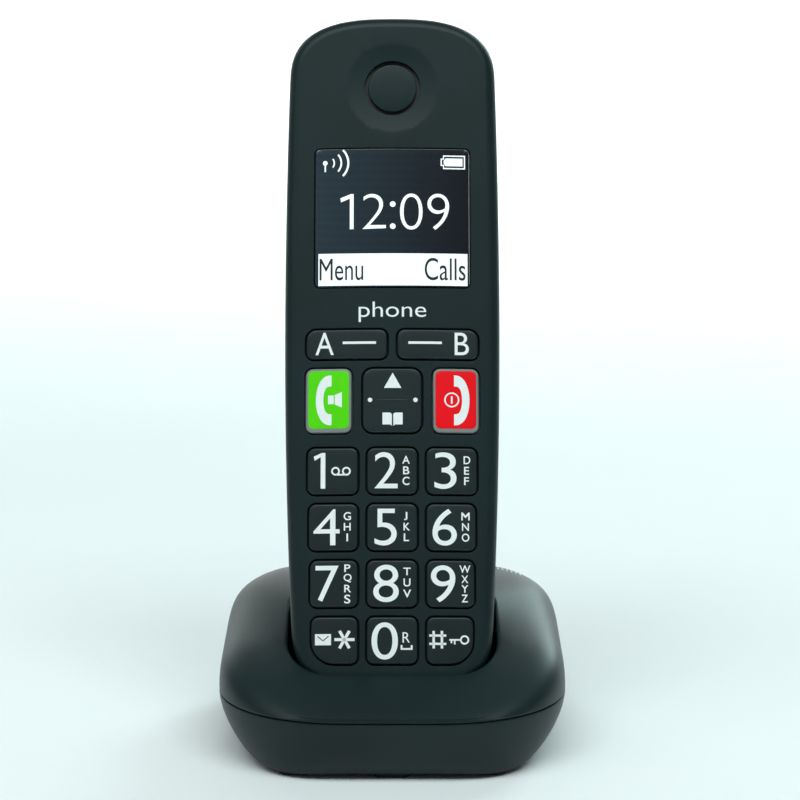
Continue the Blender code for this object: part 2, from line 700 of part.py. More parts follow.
for side in (-1, 1):
    low, high = sorted((side * (HOOK_INNER - 0.6 * mm), side * (HOOK_OUTER + 0.6 * mm)))
    slot = box(f"cut_hook_{side}", (low, 20 * mm, DOOR_BOTTOM - HOOK_REACH - 0.4 * mm),
               (high, HANDSET_DEPTH - WALL - 0.1 * mm, TRAY_BOTTOM - TRAY_WALL - 0.4 * mm),
               cutters)
    cut(rear, slot)
    at = (side * SCREW_OFFSET, 0, screw_z)
    sleeve = rod(f"join_well_{side}", SCREW_HEAD + GAP + WELL_WALL, rear_start + GAP,
                 HANDSET_DEPTH - WALL / 2, at, home=cutters)
    well = rod(f"cut_well_{side}", SCREW_HEAD + GAP, SCREW_SEAT, BEYOND, at, home=cutters)
    hole = rod(f"cut_hole_{side}", SCREW_SHANK + GAP, SCREW_TIP - GAP, BEYOND, at, home=cutters)
    join(rear, sleeve)
    cut(rear, well, hole)
    screw = turned("handset_screw_" + ("left" if side < 0 else "right"),
                   [(0, head_top), (SCREW_HEAD - 0.3 * mm, head_top),
                    (SCREW_HEAD, head_top - 0.4 * mm), (SCREW_HEAD, head_seat),
                    (SCREW_SHANK, head_seat), (SCREW_SHANK, SCREW_TIP + SCREW_POINT),
                    (0, SCREW_TIP)],
                   at, sides=20)
    dress(screw, "steel")
speaker_z = HANDSET_LENGTH - SPEAKER_FROM_END
for k in range(-2, 3):
    reach = SLOT_REACH - abs(k) * SLOT_STEP
    slot_z = speaker_z + k * SLOT_PITCH
    slot = box(f"cut_sound_{k + 2}",
               (-reach, HANDSET_DEPTH - WALL - 4 * mm, slot_z - SLOT_HEIGHT / 2),
               (reach, BEYOND, slot_z + SLOT_HEIGHT / 2), cutters)
    cut(rear, slot)
for side, word in ((-1, "left"), (1, "right")):
    x0, x1 = side * CHARGE_OFFSET - CHARGE_HALF_WIDTH, side * CHARGE_OFFSET + CHARGE_HALF_WIDTH
    y0, y1 = CHARGE_DEPTH - CHARGE_HALF_DEPTH, CHARGE_DEPTH + CHARGE_HALF_DEPTH
    notch = box(f"cut_charge_{word}", (x0 - GAP, y0 - GAP, -1 * mm), (x1 + GAP, y1 + GAP, 6 * mm),
                cutters)
    cut(rear, notch)
    plate = box(f"charging_plate_{word}", (x0, y0, CHARGE_RECESS), (x1, y1, CHARGE_TOP))
    soften = plate.modifiers.new("soften", "BEVEL")
    soften.width = 0.3 * mm
    soften.segments = 2
    dress(baked(plate), "brass")
tidy(rear)
dress(rear, "shell")

# --- battery door, hooked at its lower edge
door = slab("battery_door", door_outline, HANDSET_DEPTH - WALL, HANDSET_DEPTH)
for side in (-1, 1):
    low, high = sorted((side * HOOK_INNER, side * HOOK_OUTER))
    neck = box(f"join_neck_{side}", (low, HANDSET_DEPTH - WALL - 1.5 * mm, DOOR_BOTTOM + 0.4 * mm),
               (high, HANDSET_DEPTH - WALL + 0.5 * mm, DOOR_BOTTOM + 1.6 * mm), cutters)
    hook = box(f"join_hook_{side}",
               (low, HANDSET_DEPTH - WALL - 2.0 * mm, DOOR_BOTTOM - HOOK_REACH),
               (high, HANDSET_DEPTH - WALL - 0.8 * mm, DOOR_BOTTOM + 1.6 * mm), cutters)
    join(door, neck, hook)
tidy(door)
dress(door, "shell")

# --- battery cells and their contacts
cell_depth = bay_floor + CELL_CLEARANCE + CELL_RADIUS
cell_low = TRAY_BOTTOM + CONTACT_ROOM
for side, word in ((-1, "left"), (1, "right")):
    up = side > 0
    nub = 1.0 * mm
    body_high = CELL_LENGTH - nub
    profile = [(0, CELL_LENGTH), (1.8 * mm, CELL_LENGTH), (1.8 * mm, body_high),
               (CELL_RADIUS - 0.4 * mm, body_high), (CELL_RADIUS, body_high - 0.4 * mm),
               (CELL_RADIUS, 0.4 * mm), (CELL_RADIUS - 0.4 * mm, 0), (0, 0)]
    if not up:
        profile = [(r, CELL_LENGTH - h) for r, h in profile][::-1]
    cell = turned(f"battery_{word}", profile,
                  (side * (CELL_RADIUS + CELL_CLEARANCE / 2), cell_depth, cell_low), "Z", 24)
    dress(cell, "cell")
    x = side * (CELL_RADIUS + CELL_CLEARANCE / 2)
    spot = box(f"battery_contact_{word}",
               (x - 3.4 * mm, bay_floor + 1.2 * mm, bay_top - GAP - 2 * CONTACT_THICK),
               (x + 3.4 * mm, bay_floor + 9 * mm, bay_top - GAP))
    dress(spot, "steel")
bridge = box("battery_contact_bridge",
             (-bay_half + 1.5 * mm, bay_floor + 1.2 * mm, TRAY_BOTTOM + GAP),
             (bay_half - 1.5 * mm, bay_floor + 9 * mm, TRAY_BOTTOM + GAP + 2 * CONTACT_THICK))
dress(bridge, "steel")
speaker = turned("loudspeaker",
                 [(0, SPEAKER_THICK), (SPEAKER_RADIUS * 0.7, SPEAKER_THICK),
                  (SPEAKER_RADIUS, SPEAKER_THICK * 0.6), (SPEAKER_RADIUS, 0), (0, 0)],
                 (0, rear_start + 4 * mm, speaker_z), sides=28)
dress(speaker, "black")

# everything above stands in the handset's own frame
for thing in list(parts.objects) + list(cutters.objects):
    if thing is not handset_axis:
        thing.parent = handset_axis


# ================================================================ base form
def plan(half_width, front, rear, corner_front, corner_rear, steps=6, runs=2):
    """Rounded plan outline, counter-clockwise from the right side."""
    points = []

    def run(a, b, count):
        for k in range(count):
            t = k / count
            points.append((a[0] + (b[0] - a[0]) * t, a[1] + (b[1] - a[1]) * t))

    def arc(cx, cy, radius, start):
        for k in range(steps):
            angle = start + 0.5 * math.pi * k / steps
            points.append((cx + radius * math.cos(angle), cy + radius * math.sin(angle)))

    w, cf, cr = half_width, corner_front, corner_rear
    waist = (front + cf + rear - cr) / 2
    run((w, waist), (w, rear - cr), runs)
    arc(w - cr, rear - cr, cr, 0)
    run((w - cr, rear), (cr - w, rear), 2 * runs)
    arc(cr - w, rear - cr, cr, 0.5 * math.pi)
    run((-w, rear - cr), (-w, front + cf), 2 * runs)
    arc(cf - w, front + cf, cf, math.pi)
    run((cf - w, front), (w - cf, front), 2 * runs)
    arc(w - cf, front + cf, cf, 1.5 * math.pi)
    run((w, front + cf), (w, waist), runs)
    return points


def dome_rings(inset, seam_z, levels=7):
    """Rings of the upper shell from its lower edge up to the tilted rim."""
    seam = plan(BASE_HALF_WIDTH - inset, -BASE_HALF_DEPTH + inset, BASE_HALF_DEPTH - inset,
                BASE_CORNER_FRONT - inset, BASE_CORNER_REAR - inset)
    across = HANDSET_DEPTH + 2 * POCKET_CLEARANCE
    rim_depth = across / (math.cos(LEAN) - math.sin(LEAN) * math.tan(RIM_SLOPE))
    lap = RIM_LAP
    rim = plan(pocket_half_width - lap, LIP_Y + lap, LIP_Y + rim_depth - lap,
               RIM_CORNER, RIM_CORNER + 2 * mm)
    rings = []
    for level in range(levels + 1):
        t = level / levels
        ring = []
        for (x0, y0), (x1, y1) in zip(seam, rim):
            z1 = LIP_Z - inset + (y1 - LIP_Y) * math.tan(RIM_SLOPE)
            out = Vector((x0 - x1, y0 - y1))
            reach = out.length
            out.normalize()
            front_share = max(0.0, -out.y) ** 2
            rear_share = max(0.0, out.y) ** 2
            side_share = 1 - front_share - rear_share
            slope = math.radians(-20 * front_share - 4 * side_share + 4 * rear_share)
            shoulder = 0.60 * front_share + 0.83 * side_share + 0.78 * rear_share
            upright = 0.08 * front_share + 0.85 * side_share + 0.85 * rear_share
            lower = Vector((x0, y0, seam_z))
            upper = Vector((x1, y1, z1))
            pull = shoulder * reach
            near_rim = Vector((x1 + out.x * pull, y1 + out.y * pull, z1 + math.tan(slope) * pull))
            near_seam = Vector((x0, y0, seam_z + upright * (z1 - seam_z)))
            s = 1 - t
            ring.append(s ** 3 * lower + 3 * s * s * t * near_seam
                        + 3 * s * t * t * near_rim + t ** 3 * upper)
        rings.append(ring)
    return rings


def hull_rings(inset, top_z, floor_z, levels=4):
    """Rings of the lower shell from its upper edge down to its flat floor."""
    seam = plan(BASE_HALF_WIDTH - inset, -BASE_HALF_DEPTH + inset, BASE_HALF_DEPTH - inset,
                BASE_CORNER_FRONT - inset, BASE_CORNER_REAR - inset)
    foot = plan(FOOT_HALF_WIDTH - inset, FLOOR_FRONT + inset, FLOOR_REAR - inset,
                FLOOR_CORNER - inset, FLOOR_CORNER - inset)
    drop = top_z - floor_z
    rings = []
    for level in range(levels + 1):
        t = level / levels
        ring = []
        for (x0, y0), (x1, y1) in zip(seam, foot):
            upper = Vector((x0, y0, top_z))
            lower = Vector((x1, y1, floor_z))
            out = Vector((x0 - x1, y0 - y1, 0))
            near_top = upper - Vector((0, 0, 0.35 * drop))
            near_foot = lower + out * 0.45 + Vector((0, 0, 0.10 * drop))
            s = 1 - t
            ring.append(s ** 3 * upper + 3 * s * s * t * near_top
                        + 3 * s * t * t * near_foot + t ** 3 * lower)
        rings.append(ring)
    return rings


def pocket_body(name, grow):
    """The pocket, drawn in the handset's frame and open far above the rim."""
    front_y = -POCKET_CLEARANCE - grow
    rear_y = HANDSET_DEPTH + POCKET_CLEARANCE + grow
    front_round, rear_round = POCKET_FRONT_ROUND + grow, REAR_ROUND + grow
    steps = []
    for k in range(5):
        angle = 0.5 * math.pi * k / 4
        side = front_round * (1 - math.sin(angle))
        floor = min(side, FRONT_ROUND * (1 - math.sin(angle)))
        steps.append((front_y + front_round * (1 - math.cos(angle)), side, floor))
    for k in range(5):
        angle = 0.5 * math.pi * k / 4
        inset = rear_round * (1 - math.cos(angle))
        steps.append((rear_y - rear_round + rear_round * math.sin(angle), inset, inset))
    rings = []
    for depth, side, floor in steps:
        wide = pocket_half_width + grow - side
        low = -POCKET_FLOOR_GAP - grow + floor
        corner = POCKET_LOWER_ROUND
        shape = rounded_outline(-wide, wide, low, 90 * mm, (corner, corner, 2 * mm, 2 * mm), 6)
        rings.append([(x, depth, z) for x, z in shape])
    body = loft(name, rings, cutters)
    body.parent = handset_axis
    return body


def in_world(thing):
    """Move a piece's place from its parent into its mesh."""
    bpy.context.view_layer.update()
    thing.data.transform(thing.matrix_world)
    thing.parent = None
    thing.matrix_world = Matrix()
    return thing


dome = dome_rings(0.0, SEAM_Z, 24)


def dome_height(x, y):
    """Height of the upper shell's surface over a spot."""
    spots = [point for ring in dome for point in ring]
    near = sorted(spots, key=lambda p: (p.x - x) ** 2 + (p.y - y) ** 2)[:4]
    shares = [1 / (1e-9 + math.hypot(p.x - x, p.y - y)) for p in near]
    return sum(p.z * w for p, w in zip(near, shares)) / sum(shares)


top = loft("base_top_shell", dome_rings(0.0, SEAM_Z))
cut(top, loft("cut_dome_hollow", dome_rings(BASE_WALL, SEAM_Z - 1 * mm), cutters))
pocket_wall = in_world(pocket_body("join_pocket", WALL))
clip = box("cut_above_rim", (-80 * mm, -90 * mm, 0), (80 * mm, 90 * mm, 90 * mm), cutters)
clip.data.transform(Matrix.Translation((0, LIP_Y, LIP_Z - 1.0 * mm))
                    @ Matrix.Rotation(RIM_SLOPE, 4, "X"))
cut(pocket_wall, clip)
join(top, pocket_wall)
for side, word in ((-1, "left"), (1, "right")):
    for y, end in ((BASE_SCREW_FRONT, "front"), (BASE_SCREW_REAR, "rear")):
        at = (side * BASE_SCREW_X, y, 0)
        roof = FRONT_POST_ROOF if end == "front" else dome_height(at[0], y) - BASE_WALL / 2
        post = rod(f"join_post_{end}_{word}", BASE_POST_RADIUS, FLOOR_Z + FLOOR_THICK + 2 * GAP, roof,
                   at, "Z", 20, cutters)
        join(top, post)
pocket = in_world(pocket_body("cut_pocket", 0.0))
cut(top, pocket)
for side, word in ((-1, "left"), (1, "right")):
    for y, end in ((BASE_SCREW_FRONT, "front"), (BASE_SCREW_REAR, "rear")):
        at = (side * BASE_SCREW_X, y, 0)
        depth = FRONT_BORE_TOP if end == "front" else REAR_BORE_TOP
        cut(top, rod(f"cut_post_{end}_{word}", BASE_SCREW_SHANK + 0.1 * mm + GAP, -1 * mm, depth,
                     at, "Z", 16, cutters))
rear_wall = BASE_HALF_DEPTH - BASE_WALL
socket_low = SEAM_Z + 0.6 * mm
socket_mid = socket_low + SOCKET_HEIGHT / 2
for side, word in ((-1, "line"), (1, "power")):
    x = side * SOCKET_OFFSET
    cut(top, box(f"cut_{word}_mouth",
                 (x - SOCKET_HOLE_WIDTH / 2, rear_wall - 4 * mm, socket_mid - SOCKET_HOLE_HEIGHT / 2),
                 (x + SOCKET_HOLE_WIDTH / 2, rear_wall + 18 * mm, socket_mid + SOCKET_HOLE_HEIGHT / 2),
                 cutters))
for side, word in ((-1, "left"), (1, "right")):
    slot = box(f"cut_pin_{word}",
               (side * CHARGE_OFFSET - PIN_HALF_WIDTH - GAP,
                CHARGE_DEPTH - PIN_HALF_DEPTH - GAP, -8 * mm),
               (side * CHARGE_OFFSET + PIN_HALF_WIDTH + GAP,
                CHARGE_DEPTH + PIN_HALF_DEPTH + GAP, 2 * mm),
               cutters)
    slot.parent = handset_axis
    cut(top, in_world(slot))
page_hole = rod("cut_page_hole", PAGE_KEY_RADIUS + KEY_GAP, 22 * mm, 60 * mm,
                (PAGE_KEY_X, PAGE_KEY_Y, 0), "Z", 28, cutters)
cut(top, page_hole)
tidy(top)
dress(top, "shell")

bottom = loft("base_bottom_shell", hull_rings(0.0, SEAM_Z - GAP, FLOOR_Z))
cut(bottom, loft("cut_hull_hollow",
                 hull_rings(BASE_WALL, SEAM_Z + 1 * mm, FLOOR_Z + FLOOR_THICK), cutters))
feet = {
    "foot_front_left": (-23.3 * mm, -33.6 * mm, 4.0 * mm, 2.2 * mm),
    "foot_front_right": (23.3 * mm, -33.6 * mm, 4.0 * mm, 2.2 * mm),
    "foot_front_centre": (0.0, -35.6 * mm, 4.4 * mm, 2.0 * mm),
    "foot_rear_left": (-22.0 * mm, 29.5 * mm, 4.0 * mm, 2.2 * mm),
    "foot_rear_right": (22.0 * mm, 29.5 * mm, 4.0 * mm, 2.2 * mm),
}
for name, (x, y, half, across) in feet.items():
    shape = rounded_outline(x - half, x + half, y - across, y + across,
                            (across * 0.9,) * 4)
    cut(bottom, slab("cut_" + name, inset_outline(shape, -GAP), -1 * mm,
                     FLOOR_Z + FEET_DEPTH, "Z", cutters))
    foot = slab(name, shape, 0.0, FLOOR_Z + FEET_DEPTH - GAP, "Z")
    dress(foot, "rubber")
for side, word in ((-1, "left"), (1, "right")):
    for y, end in ((BASE_SCREW_FRONT, "front"), (BASE_SCREW_REAR, "rear")):
        at = (side * BASE_SCREW_X, y, 0)
        cut(bottom, rod(f"cut_screw_{end}_{word}", BASE_SCREW_SHANK + 0.1 * mm + GAP, -1 * mm,
                        BASE_SCREW_TOP, at, "Z", 16, cutters))
        cut(bottom, rod(f"cut_head_{end}_{word}", BASE_SCREW_HEAD + GAP, -1 * mm,
                        FLOOR_Z + 0.9 * mm, at, "Z", 20, cutters))
        screw = turned(f"base_screw_{end}_{word}",
                       [(0, BASE_SCREW_TOP), (BASE_SCREW_SHANK, BASE_SCREW_TOP - 0.6 * mm),
                        (BASE_SCREW_SHANK, FLOOR_Z + 0.7 * mm),
                        (BASE_SCREW_HEAD, FLOOR_Z + 0.5 * mm),
                        (BASE_SCREW_HEAD, FLOOR_Z - 0.3 * mm),
                        (BASE_SCREW_HEAD - 0.4 * mm, FLOOR_Z - 0.6 * mm),
                        (0, FLOOR_Z - 0.6 * mm)],
                       at, "Z", 18)
        dress(screw, "steel")
tidy(bottom)
dress(bottom, "shell")

# --- sockets on their board, facing the rear
board_z = socket_low - GAP - BOARD_THICK
base_board = box("base_circuit_board",
                 (-BASE_BOARD_HALF_WIDTH, BASE_BOARD_FRONT, board_z),
                 (BASE_BOARD_HALF_WIDTH, rear_wall - 4.6 * mm, board_z + BOARD_THICK))
dress(base_board, "board")
for side, word in ((-1, "line"), (1, "power")):
    x = side * SOCKET_OFFSET
    mouth = rear_wall - 3.6 * mm
    socket = box(f"{word}_socket",
                 (x - SOCKET_WIDTH / 2, mouth - SOCKET_DEPTH, socket_low),
                 (x + SOCKET_WIDTH / 2, mouth, socket_low + SOCKET_HEIGHT))
    hollow = box(f"cut_{word}_socket",
                 (x - SOCKET_HOLE_WIDTH / 2, mouth - SOCKET_DEPTH + 1.6 * mm,
                  socket_mid - SOCKET_HOLE_HEIGHT / 2),
                 (x + SOCKET_HOLE_WIDTH / 2, mouth + 5 * mm,
                  socket_mid + SOCKET_HOLE_HEIGHT / 2), cutters)
    cut(socket, hollow)
    dress(tidy(socket), "black")

# --- spring pins that meet the handset's charging plates
pin_top = CHARGE_RECESS - GAP
for side, word in ((-1, "left"), (1, "right")):
    x = side * CHARGE_OFFSET
    pin = box(f"charging_pin_{word}",
              (x - PIN_HALF_WIDTH, CHARGE_DEPTH - PIN_HALF_DEPTH, pin_top - PIN_LENGTH),
              (x + PIN_HALF_WIDTH, CHARGE_DEPTH + PIN_HALF_DEPTH, pin_top))
    soften = pin.modifiers.new("soften", "BEVEL")
    soften.width = 0.5 * mm
    soften.segments = 2
    baked(pin)
    pin.parent = handset_axis
    dress(pin, "brass")

# --- page key: a round plunger through the upper shell behind the handset
page_top = dome_height(PAGE_KEY_X, PAGE_KEY_Y)
page = rod("page_key", PAGE_KEY_RADIUS, page_top - 7 * mm, page_top + 8 * mm,
           (PAGE_KEY_X, PAGE_KEY_Y, 0), "Z", 28)
raised = loft("keep_page_top", dome_rings(0.0, SEAM_Z, 12), cutters)
raised.data.transform(Matrix.Translation((0, 0, PAGE_KEY_PROUD)))
combine(page, (raised,), "INTERSECT")
collar = rod("join_page_collar", PAGE_KEY_RADIUS + KEY_FLANGE + KEY_GAP, page_top - 8 * mm,
             page_top - 6.6 * mm, (PAGE_KEY_X, PAGE_KEY_Y, 0), "Z", 28, cutters)
join(page, collar)
dress(tidy(page), "key")

# ================================================================ origin
root = bpy.data.objects.new("base_centre", None)
parts.objects.link(root)
bpy.context.view_layer.update()
corners = [thing.matrix_world @ vert.co
           for thing in parts.objects if thing.type == "MESH"
           for vert in thing.data.vertices]
middle_y = (min(c.y for c in corners) + max(c.y for c in corners)) / 2
middle_x = (min(c.x for c in corners) + max(c.x for c in corners)) / 2
root.location = (-middle_x, -middle_y, 0)
for thing in list(parts.objects) + list(cutters.objects):
    if thing is not root and thing.parent is None:
        thing.parent = root

# moving pieces keep their origins on their own joints
door_hinge = Vector((0, HANDSET_DEPTH, DOOR_BOTTOM))
nav_axis = Vector((0, NAV_TILT_AXIS_DEPTH, CALL_KEY_CENTRE))


def set_origin(thing, point):
    thing.data.transform(Matrix.Translation(-point))
    thing.location = thing.location + point


set_origin(door, door_hinge)
for key in keys:
    if key.name == "nav_key":
        set_origin(key, nav_axis)
        continue
    spots = [vert.co for vert in key.data.vertices]
    low = Vector(min(c[i] for c in spots) for i in range(3))
    high = Vector(max(c[i] for c in spots) for i in range(3))
    set_origin(key, (low + high) / 2)
for thing in parts.objects:
    if thing.type == "MESH":
        thing.data.set_sharp_from_angle(angle=math.radians(35))
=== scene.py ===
import json
import math

import bmesh
import bpy
import numpy as np
from mathutils import Matrix, Vector
from mathutils.bvhtree import BVHTree


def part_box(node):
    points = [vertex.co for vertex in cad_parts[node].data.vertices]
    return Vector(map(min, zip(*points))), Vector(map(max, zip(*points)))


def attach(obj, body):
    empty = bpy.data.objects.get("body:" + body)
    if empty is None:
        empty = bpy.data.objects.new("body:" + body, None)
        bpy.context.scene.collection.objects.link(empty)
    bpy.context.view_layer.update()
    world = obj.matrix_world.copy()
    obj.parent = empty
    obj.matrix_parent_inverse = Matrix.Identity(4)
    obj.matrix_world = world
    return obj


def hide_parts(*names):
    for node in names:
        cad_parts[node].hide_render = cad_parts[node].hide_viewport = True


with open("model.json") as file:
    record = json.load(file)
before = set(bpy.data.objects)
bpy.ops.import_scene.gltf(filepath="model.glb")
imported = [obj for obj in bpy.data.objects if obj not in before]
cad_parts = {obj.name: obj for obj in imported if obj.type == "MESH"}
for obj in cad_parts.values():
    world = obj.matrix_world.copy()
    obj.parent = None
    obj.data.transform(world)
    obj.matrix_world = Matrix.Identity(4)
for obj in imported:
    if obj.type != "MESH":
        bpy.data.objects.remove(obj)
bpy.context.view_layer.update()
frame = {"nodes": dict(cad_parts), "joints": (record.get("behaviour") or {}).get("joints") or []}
joints = {joint["name"]: joint for joint in frame["joints"]}
scene = bpy.context.scene
print("stage: frame loaded,", len(frame["nodes"]), "nodes")

# Sizes below are in millimetres. The handset is drawn upright in its own frame, X across,
# Y from its face into its depth, Z along its length; the base is drawn about its own centre.
handset = {
    "length": 172.6, "halfWidth": 26.6, "depth": 27.0, "widestAt": 97.0,
    "bowUp": 0.00024, "bowDown": 0.00033,
    "topArch": 16.0, "topPower": 2.8, "bottomArch": 20.0, "bottomPower": 2.5,
    "frontRound": 3.0, "rearRound": 7.0, "rearTaper": 0.6, "split": 11.0, "gap": 0.3,
    "wall": 1.8, "faceWall": 2.0, "crownRadius": 180.0, "crownFull": 3.0, "lean": 20.0,
    "navAxisHeight": 74.95, "navAxisDepth": 2.4,
}
lean = math.radians(handset["lean"])
along = Vector((0, math.sin(lean), math.cos(lean)))
inward = Vector((0, math.cos(lean), -math.sin(lean)))
navPoint = Vector(joints["nav_key_rock"]["pos_m"])
handsetOrigin = (navPoint - along * handset["navAxisHeight"] * 0.001
                 - inward * handset["navAxisDepth"] * 0.001)
inMillimetres = Matrix.Scale(0.001, 4)
handsetPlace = (Matrix.Translation(handsetOrigin) @ Matrix.Rotation(-lean, 4, "X")
                @ inMillimetres)
hullLow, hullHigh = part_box("base_bottom_shell")
baseMiddle = (hullLow.y + hullHigh.y) / 2
basePlace = Matrix.Translation((0, baseMiddle, 0)) @ inMillimetres


def linear(code, alpha=1.0):
    values = [int(code[i:i + 2], 16) / 255 for i in (1, 3, 5)]
    out = [v / 12.92 if v <= 0.04045 else ((v + 0.055) / 1.055) ** 2.4 for v in values]
    return (*out, alpha)


def addNode(tree, kind, values=None, **settings):
    made = tree.nodes.new(kind)
    for key, value in settings.items():
        setattr(made, key, value)
    for key, value in (values or {}).items():
        socket = made.inputs[key]
        if isinstance(value, bpy.types.NodeSocket):
            tree.links.new(value, socket)
        else:
            socket.default_value = value
    return made


def newMaterial(name, surface):
    made = bpy.data.materials.new(name)
    made.use_nodes = True
    tree = made.node_tree
    tree.nodes.clear()
    shader = addNode(tree, "ShaderNodeBsdfPrincipled", surface)
    addNode(tree, "ShaderNodeOutputMaterial", {"Surface": shader.outputs[0]})
    place = addNode(tree, "ShaderNodeTexCoord").outputs["Object"]
    return made, tree, shader, place


def mottled(tree, place, shader, dark, light, scale):
    noise = addNode(tree, "ShaderNodeTexNoise", {"Vector": place, "Scale": scale, "Detail": 2.0})
    ramp = addNode(tree, "ShaderNodeValToRGB", {"Fac": noise.outputs[0]})
    ramp.color_ramp.elements[0].position = 0.3
    ramp.color_ramp.elements[0].color = linear(dark)
    ramp.color_ramp.elements[1].position = 0.7
    ramp.color_ramp.elements[1].color = linear(light)
    tree.links.new(ramp.outputs[0], shader.inputs["Base Color"])


def grained(tree, place, shader, size, depth):
    # size and depth in mm: the pits of the grain and how deep they go
    grain = addNode(tree, "ShaderNodeTexNoise",
                    {"Vector": place, "Scale": 1000 / size, "Detail": 3.0, "Roughness": 0.6})
    bump = addNode(tree, "ShaderNodeBump",
                   {"Height": grain.outputs[0], "Distance": depth * 0.001, "Strength": 0.6})
    tree.links.new(bump.outputs[0], shader.inputs["Normal"])
    return grain


def variedGloss(tree, shader, source, low, high):
    spread = addNode(tree, "ShaderNodeMapRange",
                     {0: source.outputs[0], 1: 0.3, 2: 0.7, 3: low, 4: high})
    tree.links.new(spread.outputs[0], shader.inputs["Roughness"])


def grainedMaterial(name, surface, shades, mottle, grain, deep, gloss):
    # two shades in patches of the mottle scale, and a grain whose pits vary the roughness too
    made, tree, shader, place = newMaterial(name, surface)
    mottled(tree, place, shader, *shades, mottle)
    variedGloss(tree, shader, grained(tree, place, shader, grain, deep), *gloss)
    return made


# injection-moulded ABS, spark-eroded grain: a satin skin with a tooth that only just shows
mouldedAbs = grainedMaterial(
    "mouldedAbs", {"IOR": 1.46, "Specular IOR Level": 0.32},
    shades=("#112122", "#152728"), mottle=35.0, grain=0.30, deep=0.012, gloss=(0.38, 0.48))

# key caps in the same ABS from a finer-polished tool: tighter, slightly brighter highlights
keyAbs = grainedMaterial(
    "polishedKeyAbs", {"IOR": 1.48, "Specular IOR Level": 0.45},
    shades=("#152223", "#1A2729"), mottle=60.0, grain=0.22, deep=0.005, gloss=(0.34, 0.42))

# pigmented ABS key faces under a satin lacquer: saturated colour, soft sheen
lacquer = {"IOR": 1.46, "Specular IOR Level": 0.25, "Coat Weight": 0.06, "Coat Roughness": 0.3}
callGreen = grainedMaterial(
    "lacqueredGreenAbs", lacquer,
    shades=("#55DC00", "#5BE400"), mottle=90.0, grain=0.25, deep=0.004, gloss=(0.42, 0.5))
callRed = grainedMaterial(
    "lacqueredRedAbs", lacquer,
    shades=("#F80012", "#FF0418"), mottle=90.0, grain=0.25, deep=0.004, gloss=(0.42, 0.5))

# uncoloured grey ABS body that shows as a rim round the call keys
rimGrey = grainedMaterial(
    "mouldedGreyAbs", {"IOR": 1.46},
    shades=("#7E8482", "#888E8C"), mottle=80.0, grain=0.25, deep=0.006, gloss=(0.4, 0.5))

# screen-printed white ink: flat, faintly uneven cover over the plastic
whiteInk = grainedMaterial(
    "screenPrintedInk", {"IOR": 1.45},
    shades=("#F4F8F7", "#FBFDFC"), mottle=400.0, grain=0.16, deep=0.003, gloss=(0.5, 0.62))

# thermoplastic rubber, moulded: matt, soft-edged
footRubber = grainedMaterial(
    "mouldedThermoplasticRubber", {"IOR": 1.5},
    shades=("#131415", "#1C1E1F"), mottle=200.0, grain=0.4, deep=0.03, gloss=(0.75, 0.88))

# zinc-plated steel, cold headed: bright with fine drawn marks
zincSteel = grainedMaterial(
    "zincPlatedSteel", {"Metallic": 1.0},
    shades=("#9DA1A4", "#B4B8BB"), mottle=700.0, grain=0.15, deep=0.004, gloss=(0.26, 0.38))

# gold flash over nickel, stamped: warm mirror with light wiping marks
goldPlate = grainedMaterial(
    "goldFlashedContact", {"Metallic": 1.0},
    shades=("#C79A45", "#DDB661"), mottle=500.0, grain=0.3, deep=0.003, gloss=(0.18, 0.3))

# spring wire, nickel plated and coiled
nickelWire = grainedMaterial(
    "nickelPlatedSpringWire", {"Metallic": 1.0},
    shades=("#A9A69F", "#C4C1BA"), mottle=900.0, grain=0.12, deep=0.003, gloss=(0.24, 0.34))

# PVC sleeve shrunk over the cell: glossy film with slight ripples
cellSleeve = grainedMaterial(
    "shrunkPvcSleeve", {"IOR": 1.53, "Coat Weight": 0.5, "Coat Roughness": 0.12},
    shades=("#1E5A9C", "#2465AB"), mottle=120.0, grain=1.6, deep=0.03, gloss=(0.28, 0.36))

# glass-fibre laminate under solder mask: green with the weave just telegraphing through
laminate = grainedMaterial(
    "solderMaskedLaminate", {"IOR": 1.5, "Coat Weight": 0.3, "Coat Roughness": 0.2},
    shades=("#0C3F24", "#12502F"), mottle=400.0, grain=0.5, deep=0.01, gloss=(0.35, 0.45))

# silicone rubber sheet, compression moulded: pale and dry
siliconeSheet = grainedMaterial(
    "mouldedSilicone", {"IOR": 1.41, "Subsurface Weight": 0.15, "Subsurface Scale": 0.001},
    shades=("#A9ADA9", "#B8BCB8"), mottle=120.0, grain=0.3, deep=0.01, gloss=(0.55, 0.65))

# nylon, black, moulded: socket bodies and the loudspeaker frame
blackNylon = grainedMaterial(
    "mouldedBlackNylon", {"IOR": 1.53},
    shades=("#0E0F11", "#16181A"), mottle=150.0, grain=0.3, deep=0.01, gloss=(0.42, 0.55))

# hard-coated acrylic window over the dark display: deep navy under a clear gloss, with a painted
# reflection that makes it lighter at the left and darker at the right
windowAcrylic, tree, shader, place = newMaterial("hardCoatedAcrylic", {
    "IOR": 1.49, "Roughness": 0.22, "Coat Weight": 0.35, "Coat Roughness": 0.06,
    "Coat IOR": 1.45})
# painted reflection: the window's colour runs from a lighter navy at its left edge to near black
# at its right
split = addNode(tree, "ShaderNodeSeparateXYZ", {0: place})
across = addNode(tree, "ShaderNodeMapRange",
                 {0: split.outputs["X"], 1: -0.0191, 2: 0.0191, 3: 0.0, 4: 1.0})
navyPaintedReflection = addNode(tree, "ShaderNodeValToRGB", {"Fac": across.outputs[0]})
for spot, code in ((0.0, "#2A3842"), (0.35, "#1B2530"), (1.0, "#0D1119")):
    element = (navyPaintedReflection.color_ramp.elements[0] if spot == 0.0 else
               navyPaintedReflection.color_ramp.elements[1] if spot == 1.0 else
               navyPaintedReflection.color_ramp.elements.new(spot))
    element.position = spot
    element.color = linear(code)
